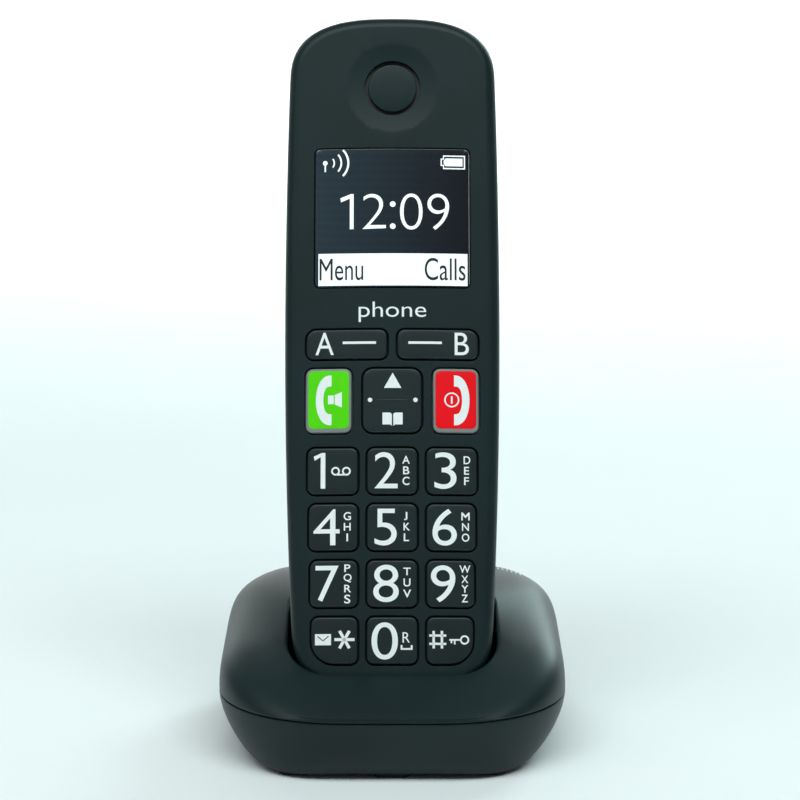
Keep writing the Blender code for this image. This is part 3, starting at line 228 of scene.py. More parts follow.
# faint bands across the display, one every 1.9 mm
bands = addNode(tree, "ShaderNodeTexWave",
                {"Vector": place, "Scale": 500 / 3, "Distortion": 0.0}, bands_direction="Z")
banded = addNode(tree, "ShaderNodeMix",
                 {"Factor": 0.06, 6: navyPaintedReflection.outputs[0], 7: bands.outputs[0]},
                 data_type="RGBA", blend_type="OVERLAY")
tree.links.new(banded.outputs[2], shader.inputs["Base Color"])

# lit display cells: cool white light behind the window
displayLight, tree, shader, place = newMaterial("litDisplayCells", {
    "Roughness": 0.5, "Emission Strength": 0.4})
mottled(tree, place, shader, "#E6EDEC", "#F2F6F5", 900.0)
tree.links.new(shader.inputs["Base Color"].links[0].from_socket,
               shader.inputs["Emission Color"])
displayDark, tree, shader, place = newMaterial("darkDisplayCells", {"Roughness": 0.4})
mottled(tree, place, shader, "#10161C", "#161D24", 900.0)
print("stage: materials made")


def addObject(name, mesh):
    made = bpy.data.objects.new(name, mesh)
    scene.collection.objects.link(made)
    return made


def baked(obj):
    bpy.context.view_layer.update()
    graph = bpy.context.evaluated_depsgraph_get()
    mesh = bpy.data.meshes.new_from_object(obj.evaluated_get(graph))
    obj.modifiers.clear()
    obj.data = mesh
    return obj


def loft(name, rings, closed=True):
    # rings of equal point counts; the first and last are filled when closed
    work = bmesh.new()
    loops = [[work.verts.new(point) for point in ring] for ring in rings]
    count = len(loops[0])
    for low, high in zip(loops, loops[1:]):
        for i in range(count):
            j = (i + 1) % count
            work.faces.new((low[i], low[j], high[j], high[i]))
    if closed:
        work.faces.new(loops[0][::-1])
        work.faces.new(loops[-1])
    bmesh.ops.recalc_face_normals(work, faces=work.faces)
    mesh = bpy.data.meshes.new(name)
    work.to_mesh(mesh)
    work.free()
    return addObject(name, mesh)


def joined(name, pieces):
    work = bmesh.new()
    for piece in pieces:
        work.from_mesh(piece.data)
        bpy.data.objects.remove(piece, do_unlink=True)
    mesh = bpy.data.meshes.new(name)
    work.to_mesh(mesh)
    work.free()
    return addObject(name, mesh)


def combined(obj, other, operation="DIFFERENCE"):
    step = obj.modifiers.new("cut", "BOOLEAN")
    step.operation = operation
    step.solver = "EXACT"
    step.object = other
    baked(obj)
    bpy.data.objects.remove(other, do_unlink=True)
    return obj


def finished(obj, place, body, material, nodes=(), angle=40, even=True):
    obj.data.transform(place)
    work = bmesh.new()
    work.from_mesh(obj.data)
    bmesh.ops.remove_doubles(work, verts=work.verts, dist=1e-6)
    bmesh.ops.dissolve_degenerate(work, edges=work.edges, dist=1e-7)
    work.to_mesh(obj.data)
    work.free()
    obj.data.shade_smooth()
    obj.data.set_sharp_from_angle(angle=math.radians(angle))
    if even:
        step = obj.modifiers.new("even", "WEIGHTED_NORMAL")
        step.keep_sharp = True
        baked(obj)
    obj.data.materials.clear()
    obj.data.materials.append(material)
    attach(obj, body)
    if nodes:
        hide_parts(*nodes)
    return obj


def barrel(z):
    rise = z - handset["widestAt"]
    bow = handset["bowUp"] if rise > 0 else handset["bowDown"]
    return handset["halfWidth"] - bow * rise * rise


def contour(inset, perArch=26, perSide=36):
    # front view of the handset drawn inward by inset, counter-clockwise from the lower end
    h, right = handset, []
    for k in range(perArch + 1):
        angle = 0.5 * math.pi * k / perArch
        power = 2 / h["bottomPower"]
        z = inset + (h["bottomArch"] - inset) * (1 - max(math.cos(angle), 0) ** power)
        right.append(((barrel(z) - inset) * math.sin(angle) ** power, z))
    low, high = h["bottomArch"], h["length"] - h["topArch"]
    for k in range(1, perSide):
        z = low + (high - low) * k / perSide
        right.append((barrel(z) - inset, z))
    for k in range(perArch + 1):
        angle = 0.5 * math.pi * k / perArch
        power = 2 / h["topPower"]
        z = high + (h["topArch"] - inset) * math.sin(angle) ** power
        right.append(((barrel(z) - inset) * max(math.cos(angle), 0) ** power, z))
    right[0] = (0.0, inset)
    right[-1] = (0.0, h["length"] - inset)
    return right + [(-x, z) for x, z in right[-2:0:-1]]


def stack(name, profile, outlineAt):
    rings = [[(x, depth, z) for x, z in outlineAt(inset)] for depth, inset in profile]
    return loft(name, rings)


def roundedBox(x0, x1, z0, z1, radii, steps=7):
    # gives a function of inset: a rounded rectangle, corners from lower left, anticlockwise
    def outlineAt(inset):
        a, b, c, d = x0 + inset, x1 - inset, z0 + inset, z1 - inset
        points = []
        spots = ((a, c, 1, 1), (b, c, -1, 1), (b, d, -1, -1), (a, d, 1, -1))
        for number, ((x, z, sx, sz), radius) in enumerate(zip(spots, radii)):
            size = min(max(radius - inset, 0.15), (b - a) / 2 - 0.01, (d - c) / 2 - 0.01)
            for k in range(steps + 1):
                angle = math.pi + 0.5 * math.pi * (number + k / steps)
                points.append((x + sx * size + size * math.cos(angle),
                               z + sz * size + size * math.sin(angle)))
        return points
    return outlineAt


def bowed(obj, step=1.3):
    # the whole front is bowed across its width; the bow dies away towards the split
    work = bmesh.new()
    work.from_mesh(obj.data)
    spots = [v.co.x for v in work.verts]
    first, last = math.ceil(min(spots) / step), math.floor(max(spots) / step)
    for k in range(first, last + 1):
        whole = list(work.verts) + list(work.edges) + list(work.faces)
        bmesh.ops.bisect_plane(work, geom=whole, plane_co=(k * step, 0, 0),
                               plane_no=(1, 0, 0), dist=1e-5)
    fade = handset["split"] - handset["crownFull"]
    for vert in work.verts:
        fall = vert.co.x ** 2 / (2 * handset["crownRadius"])
        vert.co.y += fall * min(1.0, max(0.0, (handset["split"] - vert.co.y) / fade))
    work.to_mesh(obj.data)
    work.free()
    return obj


def circle(x, y, radius, steps):
    # points round a centre, anticlockwise
    return [(x + radius * math.cos(2 * math.pi * k / steps),
             y + radius * math.sin(2 * math.pi * k / steps)) for k in range(steps)]


def arc(radius, steps, depth=0.0, inset=0.0):
    # a quarter round from a flat face to a side: (depth, inset) pairs
    return [(depth + radius * (1 - math.cos(0.5 * math.pi * k / steps)),
             inset + radius * (1 - math.sin(0.5 * math.pi * k / steps)))
            for k in range(steps + 1)]


def opening(name, outlineAt, end, grow, lipRound=0.18):
    # a cutter whose mouth flares, so that the cut edge is softly rounded
    profile = [(-2.0, -grow - lipRound), (0.0, -grow - lipRound),
               (0.3 * lipRound, -grow - 0.35 * lipRound), (lipRound, -grow), (end, -grow)]
    return stack(name, profile, outlineAt)


def turnedBody(name, profile, x, z, steps=72):
    # (radius, depth) pairs turned about the Y axis at x, z
    return loft(name, [[(px, depth, pz) for px, pz in circle(x, z, radius, steps)]
                       for radius, depth in profile])


# the keys: x0, x1, z0, z1 and corner radii from lower left, anticlockwise
keypad = {
    "height": 11.4, "pitch": 13.8, "lastRow": 16.1, "middle": 6.1, "inner": 8.4,
    "outerTop": 20.7, "outerBottom": 19.6, "corner": 1.75, "bottomCorner": 6.5,
    "callInner": 10.0, "callOuter": 21.2, "callHeight": 15.9, "callCentre": 74.95,
    "navHalf": 7.2, "navCorner": 2.5, "softInner": 1.3, "softOuter": 21.1,
    "softHeight": 7.3, "softCentre": 89.0, "softCorner": 2.4,
    "gap": 0.4, "proud": 0.6, "flange": 0.7, "flangeThick": 0.7, "bevel": 0.45,
}
keyShapes = {}
rowNames = (("key_1", "key_2", "key_3"), ("key_4", "key_5", "key_6"),
            ("key_7", "key_8", "key_9"), ("key_star", "key_0", "key_hash"))
for row, names in enumerate(rowNames):
    centre = keypad["lastRow"] + (3 - row) * keypad["pitch"]
    z0, z1 = centre - keypad["height"] / 2, centre + keypad["height"] / 2
    outer = (keypad["outerBottom"]
             + (keypad["outerTop"] - keypad["outerBottom"]) * (3 - row) / 3)
    spans = ((-outer, -keypad["inner"]), (-keypad["middle"], keypad["middle"]),
             (keypad["inner"], outer))
    for column, (name, (x0, x1)) in enumerate(zip(names, spans)):
        radii = [keypad["corner"]] * 4
        if row == 3 and column != 1:
            radii[0 if column == 0 else 1] = keypad["bottomCorner"]
        keyShapes[name] = (x0, x1, z0, z1, radii)
callLow = keypad["callCentre"] - keypad["callHeight"] / 2
callHigh = callLow + keypad["callHeight"]
softLow = keypad["softCentre"] - keypad["softHeight"] / 2
softHigh = softLow + keypad["softHeight"]
plain = keypad["corner"]
keyShapes["talk_key"] = (-keypad["callOuter"], -keypad["callInner"], callLow, callHigh,
                         [plain] * 4)
keyShapes["end_key"] = (keypad["callInner"], keypad["callOuter"], callLow, callHigh,
                        [plain] * 4)
keyShapes["nav_key"] = (-keypad["navHalf"], keypad["navHalf"], callLow, callHigh,
                        [keypad["navCorner"]] * 4)
keyShapes["soft_key_a"] = (-keypad["softOuter"], -keypad["softInner"], softLow, softHigh,
                           [plain, plain, plain, keypad["softCorner"]])
keyShapes["soft_key_b"] = (keypad["softInner"], keypad["softOuter"], softLow, softHigh,
                           [plain, plain, keypad["softCorner"], plain])

# the front shell: a tub with a soft outer edge, a recessed earpiece and flared openings
window = {"half": 19.1, "low": 103.4, "high": 138.4, "thick": 1.2, "corner": 1.2,
          "border": 1.4}
earpiece = {"height": 154.1, "radius": 6.05, "groove": 1.0, "dish": 11.8, "deep": 0.8}
frontProfile = arc(handset["frontRound"], 9)
splitAt, wall = handset["split"], handset["wall"]
frontProfile += [(7.0, 0.0), (splitAt - 0.25, 0.0), (splitAt - 0.07, 0.07),
                 (splitAt, 0.25), (splitAt, wall)]
frontProfile += arc(handset["frontRound"] - wall, 4, handset["faceWall"], wall)[::-1]
frontShell = stack("handset_front", frontProfile, contour)
lensAt = roundedBox(-window["half"], window["half"], window["low"], window["high"],
                    [window["corner"]] * 4)
cutters = [opening("cutLens", lensAt, window["thick"] + 0.6, 0.3, 0.12)]
for name, (x0, x1, z0, z1, radii) in keyShapes.items():
    cutters.append(opening("cut_" + name, roundedBox(x0, x1, z0, z1, radii), 6.0,
                           keypad["gap"]))
dishProfile = [(0.02, earpiece["deep"])]
for k in range(1, 13):
    radius = earpiece["dish"] * k / 12
    dishProfile.append((radius, earpiece["deep"] * (1 - (k / 12) ** 2)))
dishProfile += [(earpiece["dish"] + 1.2, -0.5), (0.02, -0.5)]
cutters.append(turnedBody("cutDish", dishProfile, 0, earpiece["height"], 96))
combined(frontShell, joined("cutters", cutters))
b = window["border"]
inner = [stack("cutWindow", [(-1.0, 0.0), (5.0, 0.0)],
               roundedBox(-window["half"] + b, window["half"] - b, window["low"] + b,
                          window["high"] - b, [0.6] * 4)),
         turnedBody("cutEar", [(0.02, -1.0), (earpiece["radius"] + earpiece["groove"], -1.0),
                               (earpiece["radius"] + earpiece["groove"], 6.0), (0.02, 6.0)],
                    0, earpiece["height"])]
combined(frontShell, joined("cutters", inner))
microphone = {"radius": 0.6, "depth": 6.2}
combined(frontShell, loft("cutMicrophone", [
    [(x, y, z) for x, y in circle(0, microphone["depth"], microphone["radius"], 16)]
    for z in (-1.0, 5.0)]))
bowed(frontShell)
finished(frontShell, handsetPlace, "handset", mouldedAbs,
         ["handset_front_shell"])
print("stage: front shell,", len(frontShell.data.polygons), "faces")

# key caps: flange behind the face, straight side, rounded rim, faintly pillowed top
callFace = {"rim": 0.55, "rimBelow": 0.95, "thick": 0.12}
callKeys = {"talk_key": (callGreen, "green_key"), "end_key": (callRed, "red_key")}


def keyProfile(under):
    # (depth, inset) pairs; the flange sits that far under the wall of the face
    k, top = keypad, -keypad["proud"]
    flange = handset["faceWall"] + under
    profile = [(flange + k["flangeThick"], -k["flange"]), (flange, -k["flange"]), (flange, 0.0)]
    profile += arc(k["bevel"], 5, top)[::-1]
    return profile + [(top - 0.02, 1.1), (top - 0.04, 2.2)]


for name, (x0, x1, z0, z1, radii) in keyShapes.items():
    look, slotName = callKeys.get(name, (keyAbs, "key_plastic"))
    under = 0.6 if name == "nav_key" else 0.3
    cap = stack("cap_" + name, keyProfile(under), roundedBox(x0, x1, z0, z1, radii))
    finished(bowed(cap), handsetPlace, name, rimGrey if name in callKeys else look,
             [name])
    if name in callKeys:
        rim, below = callFace["rim"], callFace["rimBelow"]
        faceShape = roundedBox(x0 + rim, x1 - rim, z0 + below, z1 - rim, [plain - 0.4] * 4)
        topAt = -keypad["proud"] - callFace["thick"]
        plate = stack("face_" + name,
                      [(topAt + 0.5, 0.0), (topAt + 0.2, 0.0), (topAt + 0.05, 0.06),
                       (topAt, 0.2), (topAt - 0.02, 1.2)], faceShape)
        finished(bowed(plate), handsetPlace, name, look)
print("stage: key caps")


# printed legends: thin slabs of ink that follow the bow of what they are printed on
ink = {"proud": 0.03, "sunk": 0.06, "keyTop": -0.64, "faceTop": -0.74}


def flatMesh(loops=None, text=None, spread=0.0):
    if text is None:
        data = bpy.data.curves.new("shape", "CURVE")
        data.dimensions = "2D"
        for points in loops:
            spline = data.splines.new("POLY")
            spline.points.add(len(points) - 1)
            for spot, (x, z) in zip(spline.points, points):
                spot.co = (x, z, 0, 1)
            spline.use_cyclic_u = True
    else:
        data = bpy.data.curves.new("shape", "FONT")
        data.body = text
        data.offset = spread
        data.resolution_u = 8
    data.fill_mode = "BOTH"
    data.extrude = 0.5
    obj = bpy.data.objects.new("shape", data)
    scene.collection.objects.link(obj)
    bpy.context.view_layer.update()
    graph = bpy.context.evaluated_depsgraph_get()
    mesh = bpy.data.meshes.new_from_object(obj.evaluated_get(graph))
    bpy.data.objects.remove(obj, do_unlink=True)
    return mesh


def printed(shapes, front, back):
    # each shape is (mesh, (x0, x1, z0, z1)); None keeps a shape's own place
    work = bmesh.new()
    for mesh, spot in shapes:
        co = np.array([v.co for v in mesh.vertices])
        low, high = co.min(0), co.max(0)
        if spot is None:
            change = Matrix()
        else:
            x0, x1, z0, z1 = spot
            sx, sz = (x1 - x0) / (high[0] - low[0]), (z1 - z0) / (high[1] - low[1])
            change = (Matrix.Translation((x0, z0, 0)) @ Matrix.Diagonal((sx, sz, 1, 1))
                      @ Matrix.Translation((-low[0], -low[1], 0)))
        mesh.transform(change)
        turn = Matrix(((1, 0, 0, 0), (0, 0, -(back - front), (front + back) / 2),
                       (0, 1, 0, 0), (0, 0, 0, 1)))
        mesh.transform(turn)
        work.from_mesh(mesh)
        bpy.data.meshes.remove(mesh)
    bmesh.ops.remove_doubles(work, verts=work.verts, dist=1e-5)
    mesh = bpy.data.meshes.new("print")
    work.to_mesh(mesh)
    work.free()
    return mesh


def stroke(points, width):
    # the outline of a line of that width through the points
    left, right = [], []
    for i, point in enumerate(points):
        before = Vector(points[max(i - 1, 0)])
        after = Vector(points[min(i + 1, len(points) - 1)])
        ahead = (after - before).normalized()
        side = Vector((-ahead.y, ahead.x)) * width / 2
        left.append(tuple(Vector(point) + side))
        right.append(tuple(Vector(point) - side))
    return left + right[::-1]


def bend(x, z, radius, start, end, steps=14):
    return [(x + radius * math.cos(math.radians(start + (end - start) * k / steps)),
             z + radius * math.sin(math.radians(start + (end - start) * k / steps)))
            for k in range(steps + 1)]


def ringLoops(x, z, radius, width, steps=32):
    return [bend(x, z, radius + width / 2, 0, 360, steps)[:-1],
            bend(x, z, radius - width / 2, 0, 360, steps)[:-1]]


def rectangle(x0, x1, z0, z1):
    return [(x0, z0), (x1, z0), (x1, z1), (x0, z1)]


def shape(*loops):
    return (flatMesh(list(loops)), None)


def dot(x, z, radius, steps=24):
    return shape(bend(x, z, radius, 0, 360, steps)[:-1])


def letters(text, x0, x1, z0, z1, spread=0.0):
    return (flatMesh(text=text, spread=spread), (x0, x1, z0, z1))


def inked(name, shapes, front, back, body, look):
    # shapes printed between two depths and bowed like the face they lie on
    slab = addObject(name, printed(shapes, front, back))
    finished(bowed(slab, 0.65), handsetPlace, body, look, even=False)


def flaggedOne(x0, x1, z0, z1, width):
    # a one with a slanting flag and no foot
    drop = (x1 - x0) * 0.42
    return shape([(x1 - width, z0), (x1, z0), (x1, z1), (x1 - width * 0.75, z1),
                  (x0, z1 - drop * 0.75), (x0 + width * 0.18, z1 - drop * 1.25 - width * 0.35),
                  (x1 - width, z1 - drop * 0.75 - width * 0.1)])


def capitalM(x0, x1, z0, z1, width):
    middle, valley = (x0 + x1) / 2, z0 + (z1 - z0) * 0.28
    return shape([(x0, z0), (x0 + width, z0), (x0 + width, z1 - width * 1.9), (middle, valley),
                  (x1 - width, z1 - width * 1.9), (x1 - width, z0), (x1, z0), (x1, z1),
                  (x1 - width, z1), (middle, valley + width * 1.8), (x0 + width, z1), (x0, z1)])


def receiverLoop(flip, x0, x1, z0, z1):
    middle, tall = (z0 + z1) / 2, (z1 - z0) / 2
    wide = x1 - x0
    outerArc = [(x1 - wide * math.cos(a) ** 0.8 if math.cos(a) > 0 else x1,
                 middle + tall * math.sin(a)) for a in
                (math.radians(-90 + 180 * k / 24) for k in range(25))]
    innerTall = tall * 0.56
    innerArc = [(x1 - wide * 0.52 * math.cos(a) ** 0.6 if math.cos(a) > 0.02 else x1,
                 middle + innerTall * math.sin(a)) for a in
                (math.radians(90 - 180 * k / 18) for k in range(19))]
    loop = outerArc + innerArc
    return [(flip * x, z) for x, z in (loop if flip > 0 else loop[::-1])]


# how far the outlines of large digits, small letters and clock digits are spread
large, small, clock = -0.003, 0.013, -0.016
legends = {
    "key_1": [flaggedOne(-19.2, -16.35, 53.2, 62.0, 1.15),
              shape(*ringLoops(-13.85, 57.45, 0.86, 0.42)),
              shape(*ringLoops(-11.2, 57.45, 0.86, 0.42)),
              shape(rectangle(-13.85, -11.2, 56.4, 56.8))],
    "key_2": [letters("2", -4.33, 1.32, 53.2, 62.1, large),
              letters("A", 2.45, 4.3, 59.25, 61.2, small),
              letters("B", 2.65, 4.2, 56.65, 58.6, small),
              letters("C", 2.5, 4.2, 54.0, 56.05, small)],
    "key_3": [letters("3", 10.3, 15.7, 53.1, 62.1, large),
              letters("D", 17.45, 19.1, 59.25, 61.2, small),
              letters("E", 17.55, 18.8, 56.65, 58.6, small),
              letters("F", 17.55, 18.75, 54.1, 56.05, small)],
    "key_4": [letters("4", -19.2, -12.8, 39.3, 48.1, large),
              letters("G", -11.85, -10.05, 45.4, 47.4, small),
              letters("H", -11.8, -10.1, 42.85, 44.75, small),
              letters("I", -11.15, -10.75, 40.25, 42.15, small)],
    "key_5": [letters("5", -4.3, 1.1, 39.2, 48.2, large),
              letters("J", 2.85, 3.7, 45.4, 47.4, small),
              letters("K", 2.75, 4.35, 42.85, 44.75, small),
              letters("L", 2.8, 4.1, 40.25, 42.15, small)],
    "key_6": [letters("6", 9.8, 15.75, 39.2, 48.2, large),
              capitalM(16.85, 18.9, 45.4, 47.35, 0.36),
              letters("N", 17.0, 18.7, 42.85, 44.75, small),
              letters("O", 16.95, 18.8, 40.2, 42.2, small)],
    "key_7": [letters("7", -18.65, -13.03, 25.6, 34.3, large),
              letters("P", -11.65, -10.15, 32.75, 34.6, small),
              letters("Q", -11.8, -9.85, 30.2, 32.3, small),
              letters("R", -11.65, -9.95, 27.8, 29.65, small),
              letters("S", -11.65, -10.15, 25.1, 27.25, small)],
    "key_8": [letters("8", -4.6, 1.6, 25.4, 34.5, large),
              letters("T", 2.7, 4.5, 31.95, 33.8, small),
              letters("U", 2.75, 4.45, 29.2, 31.15, small),
              letters("V", 2.65, 4.6, 26.5, 28.45, small)],
    "key_9": [letters("9", 9.4, 15.35, 25.4, 34.4, large),
              letters("W", 16.35, 19.0, 32.55, 34.4, small),
              letters("X", 16.8, 18.5, 30.1, 31.95, small),
              letters("Y", 16.8, 18.5, 27.75, 29.6, small),
              letters("Z", 16.85, 18.4, 25.4, 27.3, small)],
    "key_0": [letters("0", -5.0, 1.4, 11.5, 20.5, large),
              letters("R", 2.5, 4.3, 15.6, 18.1),
              shape([(2.05, 15.0), (2.05, 13.85), (4.95, 13.85), (4.95, 15.0), (4.5, 15.0),
                     (4.5, 14.28), (2.5, 14.28), (2.5, 15.0)])],
    "key_star": [shape(rectangle(-18.7, -14.8, 15.0, 17.7),
                       stroke([(-18.1, 17.2), (-16.75, 16.05), (-15.4, 17.2)], 0.26)),
                 shape(stroke([(-9.1, 16.35), (-14.0, 16.35)], 0.72)),
                 shape(stroke([(-10.35, 18.45), (-12.75, 14.25)], 0.72)),
                 shape(stroke([(-12.75, 18.45), (-10.35, 14.25)], 0.72))],
    "key_hash": [shape(rectangle(9.0, 13.1, 17.05, 17.6)),
                 shape(rectangle(9.0, 13.1, 15.05, 15.6)),
                 shape(rectangle(9.75, 10.35, 14.2, 18.45)),
                 shape(rectangle(11.75, 12.35, 14.2, 18.45)),
                 shape(*ringLoops(17.55, 16.3, 0.92, 0.42)),
                 shape(rectangle(13.85, 16.65, 16.1, 16.5)),
                 shape(rectangle(14.15, 14.55, 15.5, 16.1)),
                 shape(rectangle(14.95, 15.35, 15.2, 16.1))],
    "soft_key_a": [letters("A", -18.9, -14.4, 86.3, 91.9),
                   shape(rectangle(-12.2, -4.0, 89.0, 89.62))],
    "soft_key_b": [letters("B", 15.35, 18.85, 86.3, 91.9),
                   shape(rectangle(3.95, 12.2, 89.0, 89.62))],
    "talk_key": [shape(receiverLoop(1, -18.75, -14.9, 68.8, 81.2)),
                 shape(rectangle(-15.75, -14.35, 74.05, 76.2)),
                 shape([(-14.1, 73.95), (-12.35, 73.2), (-12.35, 77.05), (-14.1, 76.3)])],
    "end_key": [shape(receiverLoop(-1, -18.95, -15.15, 68.8, 81.2)),
                shape(*ringLoops(14.6, 75.1, 1.68, 0.36)),
                shape(rectangle(14.38, 14.82, 74.2, 76.0))],
    "nav_key": [shape([(-2.05, 78.0), (2.25, 78.0), (0.1, 81.8)]),
                dot(-5.45, 75.05, 0.55),
                dot(5.7, 75.05, 0.55),
                shape([(-2.4, 71.9), (-2.4, 68.95), (-0.55, 68.95), (-0.1, 68.6), (-0.1, 71.55),
                       (-0.55, 71.9)]),
                shape([(2.55, 71.9), (0.7, 71.9), (0.25, 71.55), (0.25, 68.6), (0.7, 68.95),
                       (2.55, 68.95)])],
}
for name, shapes in legends.items():
    topAt = ink["faceTop"] if name in callKeys else ink["keyTop"]
    inked("ink_" + name, shapes, topAt - ink["proud"], topAt + ink["sunk"], name, whiteInk)
inked("ink_word", [letters("phone", -8.3, 8.35, 94.6, 99.7, -0.004)], -ink["proud"],
      ink["sunk"], "handset", whiteInk)
groove = stack("nav_bar", [(-0.5, 0.0), (-0.68, 0.0), (-0.72, 0.05)],
               roundedBox(-3.7, 4.0, 74.92, 75.18, [0.12] * 4))
finished(bowed(groove), handsetPlace, "nav_key", keyAbs)
print("stage: legends")

# the display window and what it shows
lens = stack("display_window",
             [(window["thick"], 0.0), (0.15, 0.0), (0.04, 0.05), (0.0, 0.16), (-0.005, 1.5)],
             lensAt)
finished(bowed(lens), handsetPlace, "handset", windowAcrylic,
         ["screen_lens"])
lit = [letters("2", -7.35, -1.6, 118.0, 126.9, clock),
       flaggedOne(-12.9, -9.6, 118.0, 126.9, 0.95),
       letters("0", 1.9, 7.5, 117.85, 127.0, clock),
       letters("9", 8.7, 14.1, 117.85, 127.0, clock),
       dot(0.1, 118.7, 0.72),
       dot(0.1, 124.3, 0.72),
       dot(-16.7, 134.85, 0.6, 20),
       shape(rectangle(-16.88, -16.5, 132.6, 134.4))]
for k in range(3):
    reach = 1.75 + 1.5 * k
    lit.append(shape(stroke(bend(-16.2 + 0.25 * k, 134.85, reach, -38 - 3 * k, 38 + 3 * k),
                            0.36 + 0.07 * k)))
lit.append(shape([(12.6, 133.3), (18.1, 133.3), (18.1, 136.8), (12.6, 136.8), (12.6, 136.0),
                  (12.0, 136.0), (12.0, 134.1), (12.6, 134.1)],
                 [(12.85, 133.62), (12.85, 134.4), (12.32, 134.4), (12.32, 135.7),
                  (12.85, 135.7), (12.85, 136.48), (17.78, 136.48), (17.78, 133.62)]))
lit.append(shape([(13.2, 134.05), (17.45, 134.05), (17.45, 136.05), (13.2, 136.05),
                  (12.75, 135.4), (12.75, 134.7)]))
inked("display_signs", lit, -0.035, 0.06, "handset", displayLight)
inked("display_bar", [shape(rectangle(-18.3, 18.6, 103.75, 111.85))], -0.02, 0.06, "handset",
      displayLight)
inked("display_labels", [letters("Menu", -18.0, -7.2, 105.1, 110.6),
                         letters("Calls", 8.0, 18.1, 105.1, 110.75)], -0.05, 0.0, "handset",
      displayDark)
print("stage: display")

# the earpiece: a raised disc in a round groove, with a ring of gauze at the groove's bottom
earTop = earpiece["deep"] - 0.2
cap = turnedBody("earpiece_disc", [
    (0.02, handset["faceWall"]), (earpiece["radius"], handset["faceWall"]),
    (earpiece["radius"], earTop + 0.35), (earpiece["radius"] - 0.1, earTop + 0.12),
    (earpiece["radius"] - 0.35, earTop), (3.0, earTop - 0.1), (0.02, earTop - 0.12)],
    0, earpiece["height"])
finished(cap, handsetPlace, "handset", mouldedAbs, ["earpiece_cap"])
grille = turnedBody("earpiece_gauze", [
    (earpiece["radius"] - 0.3, 1.75), (earpiece["radius"] + 0.9, 1.75),
    (earpiece["radius"] + 0.9, 1.95), (earpiece["radius"] - 0.3, 1.95)], 0,
    earpiece["height"])
finished(grille, handsetPlace, "handset", blackNylon)
print("stage: earpiece")


def geometryTree(name, sizes):
    # a tree with named number inputs and a material; returns it with its two end nodes
    tree = bpy.data.node_groups.new(name, "GeometryNodeTree")
    for label, value in sizes.items():
        kind = "NodeSocketInt" if isinstance(value, int) else "NodeSocketFloat"
        socket = tree.interface.new_socket(label, in_out="INPUT", socket_type=kind)
        socket.default_value = value
    tree.interface.new_socket("Material", in_out="INPUT", socket_type="NodeSocketMaterial")
    tree.interface.new_socket("Geometry", in_out="OUTPUT", socket_type="NodeSocketGeometry")
    return tree, addNode(tree, "NodeGroupInput"), tree.nodes.new("NodeGroupOutput")


def ended(tree, given, end, geometry):
    real = addNode(tree, "GeometryNodeRealizeInstances", {0: geometry})
    dressed = addNode(tree, "GeometryNodeSetMaterial",
                      {"Geometry": real.outputs[0], "Material": given.outputs["Material"]})
    tree.links.new(dressed.outputs[0], end.inputs[0])
    return tree


def grown(name, tree, values, material=None):
    carrier = addObject(name, bpy.data.meshes.new(name))
    step = carrier.modifiers.new("grow", "NODES")
    step.node_group = tree
    chosen = dict(values, Material=material)
    for item in tree.interface.items_tree:
        if item.in_out == "INPUT" and chosen.get(item.name) is not None:
            step[item.identifier] = chosen[item.name]
    return baked(carrier)


def softened(obj, width, steps, limit="NONE"):
    step = obj.modifiers.new("round", "BEVEL")
    step.width, step.segments, step.limit_method = width, steps, limit
    return baked(obj)


def maths(tree, operation, *values):
    return addNode(tree, "ShaderNodeMath", dict(enumerate(values)),
                   operation=operation).outputs[0]


def vector(tree, **parts):
    return addNode(tree, "ShaderNodeCombineXYZ", parts).outputs[0]


# bars in a row, shorter towards both ends: cutters for sound holes and vents, and grip ribs
def makeSlotTree():
    tree, given, end = geometryTree("slotRow", {
        "Count": 5, "Pitch": 2.6, "Length": 12.0, "Height": 1.2, "Depth": 10.0, "Taper": 2.2})
    size = given.outputs
    steps = maths(tree, "SUBTRACT", size["Count"], 1.0)
    low = maths(tree, "MULTIPLY", maths(tree, "MULTIPLY", steps, size["Pitch"]), -0.5)
    line = addNode(tree, "GeometryNodeMeshLine",
                   {"Count": size["Count"], "Start Location": vector(tree, Z=low),
                    "Offset": vector(tree, Z=size["Pitch"])}, mode="OFFSET")
    bar = vector(tree, X=1.0, Y=size["Depth"], Z=size["Height"])
    block = addNode(tree, "GeometryNodeMeshCube", {"Size": bar})
    index = addNode(tree, "GeometryNodeInputIndex").outputs[0]
    away = maths(tree, "SUBTRACT", index, maths(tree, "MULTIPLY", steps, 0.5))
    less = maths(tree, "MULTIPLY", maths(tree, "ABSOLUTE", away), size["Taper"])
    length = maths(tree, "SUBTRACT", size["Length"], less)
    placed = addNode(tree, "GeometryNodeInstanceOnPoints",
                     {"Points": line.outputs[0], "Instance": block.outputs[0],
                      "Scale": vector(tree, X=length, Y=1.0, Z=1.0)})
    return ended(tree, given, end, placed.outputs[0])


